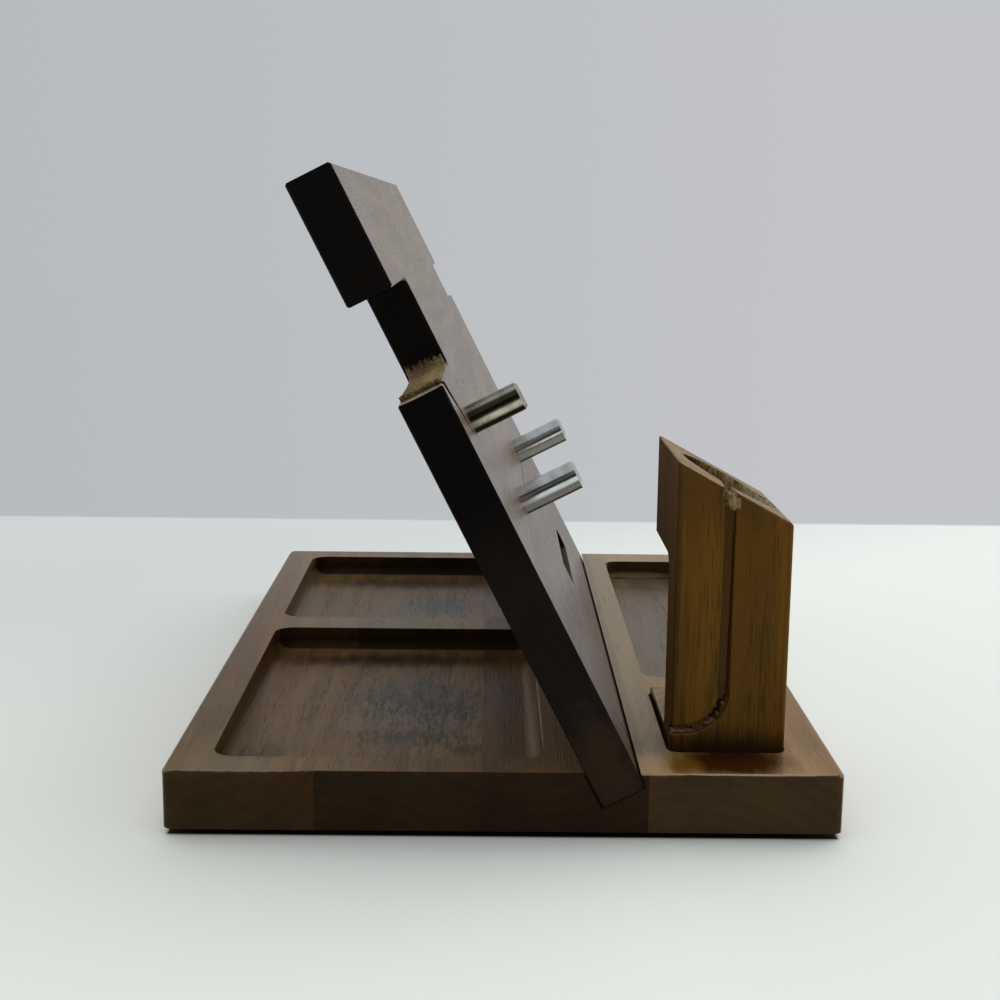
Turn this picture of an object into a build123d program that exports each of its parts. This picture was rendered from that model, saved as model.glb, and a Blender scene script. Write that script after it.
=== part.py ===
"""Wooden phone docking station: a routed base board, a leaning back board with key pegs, and a watch post.

The base lies flat on four feet. Two trays are routed into it behind the back board and one in front.
The back board leans back in a housing cut across the base, and lifts out along its own lean.
The watch post is C-shaped, so that a strap closes round its head, and lifts straight out of its mortise.
Lengths are millimetres. +X is to the right of a person in front of the dock, +Y is to the back, +Z is up.
The origin is the middle of the footprint, on the surface that the feet stand on.
"""
from build123d import *
from math import cos, radians, sin, tan
import os

os.makedirs("parts", exist_ok=True)

# Base board
base_width = 300.0
base_depth = 200.0
base_thickness = 18.0
base_corner_radius = 3.0
base_arris = 0.8
front_stave_width = 57.5
middle_stave_width = 49.0

# Feet
foot_height = 2.0
foot_radius = 6.0
foot_inset = 17.0
foot_taper = 12.0
foot_edge_chamfer = 0.5

# Trays
rear_tray_depth = 9.0
rear_tray_rim = 12.5
rear_tray_corner = 7.0
rear_tray_cove = 4.5
rear_tray_setback = 11.5
left_tray_width = 147.0
tray_rib = 16.5
front_tray_depth = 9.0
front_tray_rim = 14.0
front_tray_length = 186.0
front_tray_width = 36.0
front_tray_end_rim = 17.0
front_tray_corner = 6.0
front_tray_cove = 4.0

# Back board
board_thickness = 14.0
board_rise = 195.0
board_lean = 27.0
board_setback = 60.7
board_arris = 0.6
board_glue_lines = (69.0, 131.5)

# Housing for the back board
housing_depth = 4.6
housing_front_gap = 0.7
housing_rear_gap = 0.1

# Notches in the back board
left_notch_depth = 62.5
left_notch_height = 30.0
left_notch_bottom = 127.4
right_notch_depth = 32.0
right_notch_height = 16.0
right_notch_bottom = 138.5
notch_corner_radius = 3.0

# Cable slot in the back board
cable_slot_length = 71.0
cable_slot_height = 9.3
cable_slot_offset = 22.5
cable_slot_rise = 30.6

# Key pegs
peg_tip_chamfer = 0.9
peg_spigot_radius = 2.5
peg_spigot_length = 8.0
peg_spigot_fit = 0.02
single_peg_radius = 4.5
single_peg_reach = 17.5
single_peg_inset = 39.0
single_peg_rise = 110.5
pair_peg_radius = 5.0
pair_peg_reach = 21.3
pair_peg_centre = -7.2
pair_peg_spacing = 111.5
pair_peg_rise = 72.7

# Watch post
post_inset_x = 20.0
post_inset_y = 14.6
post_depth = 34.7
post_stem = 17.5
post_head_width = 55.0
post_foot_width = 59.0
post_foot_rise = 2.0
post_strap_gap = 55.0
post_rear_height = 89.5
post_top_slope = 28.5
post_inner_radius = 5.0
post_arris = 0.5
mortise_depth = 11.0
mortise_clearance = 0.8
mortise_corner = 4.0

# Charger pocket and cable groove of the watch post
pocket_radius = 16.6
pocket_depth = 6.0
pocket_front_rim = 1.0
groove_width = 3.5
groove_depth = 3.5
groove_setback = 19.0
groove_bend_radius = 12.0
groove_exit_rise = 7.0
groove_mouth_width = 6.0
groove_mouth_depth = 5.0

# A cutter runs this far past the surface that it opens, and places closer than the second value are one
overcut = 2.0
at_a_point = 0.01

# Levels and lines that the pieces share
base_top = foot_height + base_thickness
left_side = -base_width / 2
right_side = base_width / 2
front_side = -base_depth / 2
rear_side = base_depth / 2
lean = radians(board_lean)
board_front_y = front_side + board_setback
board_rear_y = board_front_y + board_thickness / cos(lean)

# The back board's front face: X to the right, Y up the lean, Z out towards the user.
board_face = Plane(origin=(0, board_front_y, base_top), x_dir=(1, 0, 0), z_dir=(0, -cos(lean), sin(lean)))

# Edges of the watch post and its sloping top
post_left = left_side + post_inset_x
post_front = front_side + post_inset_y
post_rear = post_front + post_depth
post_bottom = base_top - mortise_depth
slope = radians(post_top_slope)
slope_front_z = base_top + post_rear_height - post_depth * tan(slope)
slope_face = Plane(
    origin=(post_left + post_head_width / 2, post_front, slope_front_z),
    x_dir=(1, 0, 0),
    z_dir=(0, -sin(slope), cos(slope)),
)


def tray_cutter(left, right, front, rear, depth, corner, cove):
    """Returns the space of one routed tray: round corners and a floor that coves up into its walls."""
    with BuildPart() as cutter:
        with BuildSketch(Plane.XY.offset(base_top - depth)):
            with Locations(((left + right) / 2, (front + rear) / 2)):
                RectangleRounded(right - left, rear - front, corner)
        extrude(amount=depth + overcut)
        fillet(cutter.faces().sort_by(Axis.Z)[0].edges(), cove)
    return cutter.part


def housing_cutter():
    """Returns the leaning groove right across the base that the back board's foot stands in."""
    with BuildPart() as cutter:
        with BuildSketch(board_face.offset(housing_front_gap)):
            with Locations((0, -housing_depth)):
                Rectangle(
                    base_width + 2 * overcut,
                    housing_depth + board_thickness,
                    align=(Align.CENTER, Align.MIN),
                )
        extrude(amount=-(housing_front_gap + board_thickness + housing_rear_gap))
    return cutter.part


def mortise_cutter():
    """Returns the blind mortise for the watch post's foot, with the round corners that a router leaves."""
    with BuildPart() as cutter:
        with BuildSketch(Plane.XY.offset(post_bottom)):
            with Locations((post_left + post_foot_width / 2, post_front + post_depth / 2)):
                RectangleRounded(
                    post_foot_width + 2 * mortise_clearance,
                    post_depth + 2 * mortise_clearance,
                    mortise_corner,
                )
        extrude(amount=mortise_depth + overcut)
    return cutter.part


# Trays: the left and right ones behind the back board, and the long one before it
rear_tray_front = board_rear_y + rear_tray_setback
rear_tray_rear = rear_side - rear_tray_rim
left_tray_end = left_side + rear_tray_rim + left_tray_width
left_tray = tray_cutter(
    left_side + rear_tray_rim, left_tray_end, rear_tray_front, rear_tray_rear,
    rear_tray_depth, rear_tray_corner, rear_tray_cove,
)
right_tray = tray_cutter(
    left_tray_end + tray_rib, right_side - rear_tray_rim, rear_tray_front, rear_tray_rear,
    rear_tray_depth, rear_tray_corner, rear_tray_cove,
)
front_tray_right = right_side - front_tray_end_rim
front_tray = tray_cutter(
    front_tray_right - front_tray_length, front_tray_right,
    front_side + front_tray_rim, front_side + front_tray_rim + front_tray_width,
    front_tray_depth, front_tray_corner, front_tray_cove,
)

# The glued-up base board, machined as one before it is shown as its staves
with BuildPart() as base_board:
    with BuildSketch(Plane.XY.offset(foot_height)):
        RectangleRounded(base_width, base_depth, base_corner_radius)
    extrude(amount=base_thickness)
    chamfer(base_board.faces().sort_by(Axis.Z)[-1].edges(), base_arris)
    add(left_tray, mode=Mode.SUBTRACT)
    add(right_tray, mode=Mode.SUBTRACT)
    add(front_tray, mode=Mode.SUBTRACT)
    add(housing_cutter(), mode=Mode.SUBTRACT)
    add(mortise_cutter(), mode=Mode.SUBTRACT)

# Base staves, from the front to the back, parted at their glue lines
stave_lines = (
    front_side + front_stave_width,
    front_side + front_stave_width + middle_stave_width,
    front_side + front_stave_width + 2 * middle_stave_width,
)


def between(board, near, far):
    """Returns the piece of a board that lies between two planes, either of which may be None."""
    with BuildPart() as piece:
        add(board)
        if near is not None:
            split(bisect_by=near, keep=Keep.TOP)
        if far is not None:
            split(bisect_by=far, keep=Keep.BOTTOM)
    return piece.part


# Each glue plane of the base faces the back, so that its top side is the part behind it.
base_glue_planes = [Plane(origin=(0, y, 0), z_dir=(0, 1, 0)) for y in stave_lines]
base_stave_names = ("base_front_stave", "base_housing_stave", "base_tray_stave", "base_rear_stave")
for index, stave_name in enumerate(base_stave_names):
    near_plane = base_glue_planes[index - 1] if index > 0 else None
    far_plane = base_glue_planes[index] if index < len(base_glue_planes) else None
    with BuildPart() as base_stave:
        add(between(base_board.part, near_plane, far_plane))
    base_stave.part.label = stave_name
    export_step(base_stave.part, f"parts/{stave_name}.step")

# The glued-up back board: notched at both ends, slotted for a cable and bored for the pegs' spigots
left_pair_x = pair_peg_centre - pair_peg_spacing / 2
right_pair_x = pair_peg_centre + pair_peg_spacing / 2
peg_places = (
    ("single_key_peg", left_side + single_peg_inset, single_peg_rise, single_peg_radius, single_peg_reach),
    ("left_pair_peg", left_pair_x, pair_peg_rise, pair_peg_radius, pair_peg_reach),
    ("right_pair_peg", right_pair_x, pair_peg_rise, pair_peg_radius, pair_peg_reach),
)
with BuildPart() as back_board:
    with BuildSketch(board_face) as outline:
        with Locations((0, -housing_depth)):
            Rectangle(base_width, board_rise + housing_depth, align=(Align.CENTER, Align.MIN))
        with Locations((left_side, left_notch_bottom)):
            Rectangle(left_notch_depth, left_notch_height, align=(Align.MIN, Align.MIN), mode=Mode.SUBTRACT)
        with Locations((right_side, right_notch_bottom)):
            Rectangle(right_notch_depth, right_notch_height, align=(Align.MAX, Align.MIN), mode=Mode.SUBTRACT)
        notch_ends = outline.vertices().filter_by(lambda corner: left_side < corner.X - at_a_point)
        fillet(notch_ends.filter_by(lambda corner: corner.X + at_a_point < right_side), notch_corner_radius)
    extrude(amount=-board_thickness)
    faces_front_and_rear = back_board.faces().sort_by(Axis((0, 0, 0), board_face.z_dir))
    chamfer(faces_front_and_rear[-1].edges(), board_arris)
    chamfer(faces_front_and_rear[0].edges(), board_arris)
    with BuildSketch(board_face):
        with Locations((cable_slot_offset, cable_slot_rise)):
            SlotOverall(cable_slot_length, cable_slot_height)
    extrude(amount=-board_thickness, mode=Mode.SUBTRACT)
    for _, offset, rise, _, _ in peg_places:
        with BuildSketch(board_face):
            with Locations((offset, rise)):
                Circle(peg_spigot_radius + peg_spigot_fit)
        extrude(amount=-peg_spigot_length, mode=Mode.SUBTRACT)

# Back board staves, from the foot up, parted square to the faces
board_glue_planes = [
    Plane(origin=board_face.from_local_coords((0, v, 0)), z_dir=board_face.y_dir)
    for v in board_glue_lines
]
board_stave_names = ("back_lower_stave", "back_middle_stave", "back_upper_stave")
for index, stave_name in enumerate(board_stave_names):
    near_plane = board_glue_planes[index - 1] if index > 0 else None
    far_plane = board_glue_planes[index] if index < len(board_glue_planes) else None
    with BuildPart() as board_stave:
        add(between(back_board.part, near_plane, far_plane))
    board_stave.part.label = stave_name
    export_step(board_stave.part, f"parts/{stave_name}.step")

# Key pegs: polished pins, each seated on the board's face with a thinner spigot glued into a blind hole
for peg_name, offset, rise, radius, reach in peg_places:
    with BuildPart() as peg:
        with BuildSketch(board_face):
            with Locations((offset, rise)):
                Circle(radius)
        extrude(amount=reach)
        tip = peg.faces().sort_by(Axis((0, 0, 0), board_face.z_dir))[-1]
        chamfer(tip.edges(), peg_tip_chamfer)
        with BuildSketch(board_face):
            with Locations((offset, rise)):
                Circle(peg_spigot_radius)
        extrude(amount=-peg_spigot_length)
    peg.part.label = peg_name
    export_step(peg.part, f"parts/{peg_name}.step")

# Watch post: C profile across X and Z, carried front to back, then cut to its slope
foot_top = base_top + post_foot_rise
post_blank_top = base_top + post_rear_height
pocket_centre_up = pocket_front_rim + pocket_radius
groove_y = post_front + groove_setback
groove_exit_z = base_top + groove_exit_rise
slope_z_at_groove = slope_front_z + groove_setback * tan(slope)
with BuildPart() as watch_post:
    with BuildSketch(Plane(origin=(0, post_rear, 0), x_dir=(1, 0, 0), z_dir=(0, -1, 0))) as profile:
        with Locations((post_left, base_top)):
            Rectangle(post_head_width, post_rear_height, align=(Align.MIN, Align.MIN))
            Rectangle(post_foot_width, post_foot_rise, align=(Align.MIN, Align.MIN))
        with Locations((post_left + post_stem, foot_top)):
            Rectangle(post_foot_width, post_strap_gap, align=(Align.MIN, Align.MIN), mode=Mode.SUBTRACT)
        stem_right = post_left + post_stem
        throat = profile.vertices().filter_by(lambda corner: abs(corner.X - stem_right) < at_a_point)
        fillet(throat, post_inner_radius)
    extrude(amount=post_depth)
    split(bisect_by=slope_face, keep=Keep.BOTTOM)
    slope_rim = watch_post.faces().sort_by(Axis.Z)[-1].edges()
    side_rims = watch_post.faces().filter_by(Axis.Y).edges()
    above_base = (slope_rim + side_rims).filter_by(lambda edge: edge.center().Z > base_top + at_a_point)
    chamfer(above_base, post_arris)
    with BuildSketch(Plane.XY.offset(post_bottom)):
        with Locations((post_left + post_foot_width / 2, post_front + post_depth / 2)):
            RectangleRounded(post_foot_width, post_depth, mortise_corner - mortise_clearance)
    extrude(amount=mortise_depth)
    with BuildSketch(slope_face):
        with Locations((0, pocket_centre_up)):
            Circle(pocket_radius)
    extrude(amount=-pocket_depth, mode=Mode.SUBTRACT)
    left_face = Plane(origin=(post_left, 0, 0), x_dir=(0, -1, 0), z_dir=(-1, 0, 0))
    with BuildSketch(left_face):
        with BuildLine() as route:
            drop = Line((-groove_y, post_blank_top), (-groove_y, groove_exit_z + groove_bend_radius))
            bend = TangentArc(
                drop @ 1,
                (-groove_y - groove_bend_radius, groove_exit_z),
                tangent=drop % 1,
            )
            Line(bend @ 1, (-post_rear - overcut, groove_exit_z))
        trace(line_width=groove_width)
    extrude(amount=-groove_depth, mode=Mode.SUBTRACT)
    with BuildSketch(left_face):
        with BuildLine():
            Polyline(
                (-groove_y - groove_width / 2, slope_z_at_groove - groove_mouth_depth),
                (-groove_y - groove_mouth_width / 2, post_blank_top),
                (-groove_y + groove_mouth_width / 2, post_blank_top),
                (-groove_y + groove_width / 2, slope_z_at_groove - groove_mouth_depth),
                close=True,
            )
        make_face()
    extrude(amount=-post_head_width / 2, mode=Mode.SUBTRACT)
watch_post.part.label = "watch_post"
export_step(watch_post.part, "parts/watch_post.step")

# Feet: low round pads under the corners
foot_places = {
    "foot_front_left": (left_side + foot_inset, front_side + foot_inset),
    "foot_front_right": (right_side - foot_inset, front_side + foot_inset),
    "foot_rear_left": (left_side + foot_inset, rear_side - foot_inset),
    "foot_rear_right": (right_side - foot_inset, rear_side - foot_inset),
}
for foot_name, place in foot_places.items():
    with BuildPart() as foot:
        with BuildSketch(Plane.XY.offset(foot_height)):
            with Locations(place):
                Circle(foot_radius)
        extrude(amount=-foot_height, taper=foot_taper)
        chamfer(foot.faces().sort_by(Axis.Z)[0].edges(), foot_edge_chamfer)
    foot.part.label = foot_name
    export_step(foot.part, f"parts/{foot_name}.step")
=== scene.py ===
"""Looks of a wooden phone docking station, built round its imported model.

The boards and the watch post keep their modelled solids and are dressed as dark stained timber: long grain along
each board, end grain at its ends, raw wood where a cutter left it bare. The torn wood of the watch post's groove
and charger pocket and of the back board's notch is added as pieces of its own. Everything is in metres, in the
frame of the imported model.
"""

import logging
import math
from dataclasses import dataclass, field
from enum import Enum

import bmesh
import bpy
import numpy as np
from mathutils import Matrix, Vector


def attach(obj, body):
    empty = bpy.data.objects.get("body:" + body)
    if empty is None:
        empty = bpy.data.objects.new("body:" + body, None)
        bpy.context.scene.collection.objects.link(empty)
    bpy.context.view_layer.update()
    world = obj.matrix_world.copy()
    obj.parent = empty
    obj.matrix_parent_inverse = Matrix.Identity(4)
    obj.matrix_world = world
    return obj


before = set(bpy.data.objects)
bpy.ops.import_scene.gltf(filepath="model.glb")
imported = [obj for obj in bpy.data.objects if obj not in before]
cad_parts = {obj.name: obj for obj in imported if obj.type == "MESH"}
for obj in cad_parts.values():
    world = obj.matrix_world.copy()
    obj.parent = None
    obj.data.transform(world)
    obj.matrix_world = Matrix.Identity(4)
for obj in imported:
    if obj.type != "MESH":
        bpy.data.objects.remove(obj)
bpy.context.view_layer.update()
LOG = logging.getLogger("dock")
MM = 0.001
QUARTER = math.pi / 2.0
SAME_PLACE = 1e-7

Colour = tuple[float, float, float]
Triple = tuple[float, float, float]
Pair = tuple[float, float]
Skin = tuple[np.ndarray, list[list[int]]]
Names = tuple[str, ...]
Material = bpy.types.Material
Node = bpy.types.Node
Socket = bpy.types.NodeSocket
Tree = bpy.types.NodeTree
Source = Socket | float | tuple


def rgba(colour: Colour) -> tuple[float, float, float, float]:
    """Returns a colour with full opacity."""
    return (*colour, 1.0)


def metres(place: Triple) -> Triple:
    """Returns a place given in millimetres in metres."""
    return tuple(value * MM for value in place)


@dataclass(frozen=True)
class Layout:
    """Places that the marks and the added pieces share with the solids, in millimetres."""

    base_top: float = 20.0
    lean: float = 27.0
    board_foot: Triple = (0.0, -39.3, 20.0)
    board_thickness: float = 14.0
    board_end: float = -150.0
    notch_throat: float = -87.5
    notch_bottom: float = 127.4
    notch_corner: float = 3.0
    post_left: float = -130.0
    post_front: float = -85.4
    slope: float = 28.5
    slope_front_z: float = 90.66
    pocket_centre: Triple = (-102.5, -69.93, 99.06)
    pocket_radius: float = 16.6
    pocket_depth: float = 6.0
    groove_y: float = -66.4
    groove_width: float = 3.5
    groove_depth: float = 3.5
    bend_centre: Pair = (-12.0, 39.0)
    bend_radius: float = 12.0
    mouth_floor_z: float = 95.98
    mouth_spread: float = 0.0925

    @property
    def slope_rise(self) -> float:
        """How far the post's slope rises over a millimetre towards the back."""
        return math.tan(math.radians(self.slope))

    @property
    def groove_top(self) -> float:
        """The slope's height over the middle of the groove."""
        return self.slope_front_z + (self.groove_y - self.post_front) * self.slope_rise


LAYOUT = Layout()


def closed_shell(front: np.ndarray, back: np.ndarray) -> Skin:
    """Joins two grids of points into one closed skin: both faces, and a rim between their borders.

    Args:
        front: The shown face's points, rows by columns by 3.
        back: The hidden face's points, in the same order.

    Returns:
        The points and the four corners of each face.
    """
    rows, columns = front.shape[:2]
    index = np.arange(rows * columns).reshape(rows, columns)
    corners = (index[:-1, :-1], index[1:, :-1], index[1:, 1:], index[:-1, 1:])
    quads = np.stack(corners, axis=-1).reshape(-1, 4)
    border = np.concatenate([index[0, :-1], index[:-1, -1], index[-1, :0:-1], index[:0:-1, 0]])
    after = np.roll(border, -1)
    hidden = rows * columns
    rim = np.stack([border, after, after + hidden, border + hidden], axis=-1)
    faces = np.concatenate([quads, quads[:, ::-1] + hidden, rim])
    return np.concatenate([front.reshape(-1, 3), back.reshape(-1, 3)]), faces.tolist()


@dataclass(frozen=True)
class FlatFrame:
    """A frame on one of the model's faces: an origin in millimetres and the directions of two of its axes."""

    origin: Triple
    along: Triple
    up: Triple

    def place(self, local: np.ndarray) -> np.ndarray:
        """Returns points of the frame as places in the model.

        Place = origin + a * along + b * up + c * out, where out is along crossed with up.

        Args:
            local: Points as a, b and c in millimetres, on the last axis.

        Returns:
            The points in metres, in the model's frame.
        """
        axes = np.array([self.along, self.up, np.cross(self.along, self.up)])
        return (np.array(self.origin) + local @ axes) * MM

    def shell(self, *sides: tuple[np.ndarray | float, ...]) -> Skin:
        """Returns the closed skin between two faces, each given as its grids of a, b and c."""
        return closed_shell(*(self.place(np.stack(np.broadcast_arrays(*side), axis=-1)) for side in sides))

    def layer(
        self, line: tuple[np.ndarray, np.ndarray], lean: np.ndarray, stands: tuple[np.ndarray, float],
        out: np.ndarray,
    ) -> Skin:
        """Returns a closed skin that stands off a line drawn out along c.

        Each of its two faces lies at (a, b) = line + stand * lean, and at c = out.

        Args:
            line: The line's places as a and b, each with rows by 1 or by columns.
            lean: The direction that is square to the line at each row, as pairs.
            stands: How far the shown face and the hidden one stand off the line.
            out: The places along c.

        Returns:
            The skin's points and faces.
        """
        a, b = line
        return self.shell(*((a + stand * lean[:, :1], b + stand * lean[:, 1:], out) for stand in stands))


def leaning(degrees: float) -> Triple:
    """Returns the direction that rises from +Y by an angle."""
    return (0.0, math.cos(math.radians(degrees)), math.sin(math.radians(degrees)))


SLOPE_FRAME = FlatFrame(LAYOUT.pocket_centre, (1.0, 0.0, 0.0), leaning(LAYOUT.slope))
BOARD_FRAME = FlatFrame(LAYOUT.board_foot, (1.0, 0.0, 0.0), leaning(90.0 - LAYOUT.lean))
GROOVE_FRAME = FlatFrame((LAYOUT.post_left, LAYOUT.groove_y, 0.0), (0.0, -1.0, 0.0), (0.0, 0.0, 1.0))


def soft_noise(rows: int, columns: int, cells: tuple[int, int], seed: int) -> np.ndarray:
    """Returns smooth values from 0 to 1 on a grid.

    Each value is the random numbers at the corners of its lattice cell, weighted by a smooth step along both
    sides.

    Args:
        rows: The grid's rows.
        columns: The grid's columns.
        cells: The lattice's cells along both sides.
        seed: The random numbers' seed.

    Returns:
        The values, rows by columns.
    """
    inside_last = 1e-6
    corners = np.random.default_rng(seed).random((cells[0] + 1, cells[1] + 1))
    down = np.linspace(0.0, cells[0] - inside_last, rows)[:, None]
    across = np.linspace(0.0, cells[1] - inside_last, columns)[None, :]
    row, column = down.astype(int), across.astype(int)
    s, t = (share * share * (3.0 - 2.0 * share) for share in (down - row, across - column))
    near = corners[row, column] * (1.0 - t) + corners[row, column + 1] * t
    far = corners[row + 1, column] * (1.0 - t) + corners[row + 1, column + 1] * t
    return near * (1.0 - s) + far * s


def torn_noise(rows: int, columns: int, cells: tuple[int, int], seed: int) -> np.ndarray:
    """Returns a rougher noise: three layers, each twice as fine and about half as strong as the one before.

    Args:
        rows: The grid's rows.
        columns: The grid's columns.
        cells: The coarsest layer's cells along both sides.
        seed: The random numbers' seed.

    Returns:
        The values from 0 to 1, rows by columns.
    """
    shares = (0.55, 0.29, 0.16)
    return sum(
        share * soft_noise(rows, columns, (cells[0] * 2 ** step, cells[1] * 2 ** step), seed + step)
        for step, share in enumerate(shares)
    )


def cornered(run: np.ndarray, start: Pair, level: float, radius: float) -> tuple[np.ndarray, np.ndarray]:
    """Returns a line that runs level, rounds a quarter of a circle and climbs.

    At each run the arc has turned by (run - level) / radius, kept from 0 to a quarter. The place is
    start + (the level part of the run + radius * sin(turn), radius * (1 - cos(turn)) + the run past the arc).

    Args:
        run: How far along the line each point lies.
        start: Where the line starts.
        level: How long its level part is.
        radius: The arc's radius.

    Returns:
        The places, and the directions that lean away from the line on its upper side, both as pairs.
    """
    turn = np.clip((run - level) / radius, 0.0, QUARTER)
    a = start[0] + np.minimum(run, level) + radius * np.sin(turn)
    b = start[1] + radius * (1.0 - np.cos(turn)) + np.maximum(run - level - radius * QUARTER, 0.0)
    return np.stack([a, b], axis=-1), np.stack([-np.sin(turn), np.cos(turn)], axis=-1)


def strands(roots: np.ndarray, tips: np.ndarray, width: np.ndarray, sway: np.ndarray) -> Skin:
    """Returns torn fibres: three-sided spindles from their roots to their tips.

    A ring at the share t of a strand lies at root + t * (tip - root) + sin(pi * t) * sway, and is as wide as
    width * (1 - t) ** taper, so that the strand ends in a point.

    Args:
        roots: The strands' roots, count by 3.
        tips: Their tips, count by 3.
        width: Their half widths at the root.
        sway: How far each leaves its straight line, count by 3.

    Returns:
        The points and the faces.
    """
    taper = 0.7
    aslant = np.array([0.31, 0.52, 0.79])
    share = np.array([0.0, 0.25, 0.5, 0.75, 0.97])[None, :, None]
    turn = (np.arange(3) * 2.0 * math.pi / 3.0)[None, :, None]
    run = tips - roots
    side = np.cross(run, aslant)
    side /= np.linalg.norm(side, axis=1, keepdims=True)
    other = np.cross(run, side)
    other /= np.linalg.norm(other, axis=1, keepdims=True)
    spine = roots[:, None] + share * run[:, None] + np.sin(math.pi * share) * sway[:, None]
    half = width[:, None, None] * (1.0 - share) ** taper
    ring = np.cos(turn) * side[:, None] + np.sin(turn) * other[:, None]
    points = spine[:, :, None] + half[:, :, None] * ring[:, None]
    count, rings, sides = points.shape[:3]
    index = np.arange(count * rings * sides).reshape(count, rings, sides)
    turned = np.roll(index, -1, axis=2)
    walls = np.stack([index[:, :-1], turned[:, :-1], turned[:, 1:], index[:, 1:]], axis=-1).reshape(-1, 4)
    ends = np.concatenate([index[:, 0, ::-1], index[:, -1]])
    return points.reshape(-1, 3), walls.tolist() + ends.tolist()


def add_piece(
    name: str, points: np.ndarray, faces: list[list[int]], material: Material, body: str, slot: str,
) -> None:
    """Makes a mesh piece, closes it with its faces pointing outwards, and lets it ride on a body.

    Args:
        name: The piece's name.
        points: Its points, in metres.
        faces: The corners of its faces.
        material: Its material.
        body: The body that it moves with.
        slot: Not used.
    """
    mesh = bpy.data.meshes.new(name)
    mesh.from_pydata(points.tolist(), [], faces)
    tidy = bmesh.new()
    tidy.from_mesh(mesh)
    bmesh.ops.remove_doubles(tidy, verts=tidy.verts, dist=SAME_PLACE)
    bmesh.ops.recalc_face_normals(tidy, faces=tidy.faces)
    tidy.to_mesh(mesh)
    tidy.free()
    mesh.polygons.foreach_set("use_smooth", np.ones(len(mesh.polygons), dtype=bool))
    mesh.materials.append(material)
    piece = bpy.data.objects.new(name, mesh)
    bpy.context.scene.collection.objects.link(piece)
    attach(piece, body)
    LOG.info("%s made with %d faces, riding on %s", name, len(mesh.polygons), body)


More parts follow.
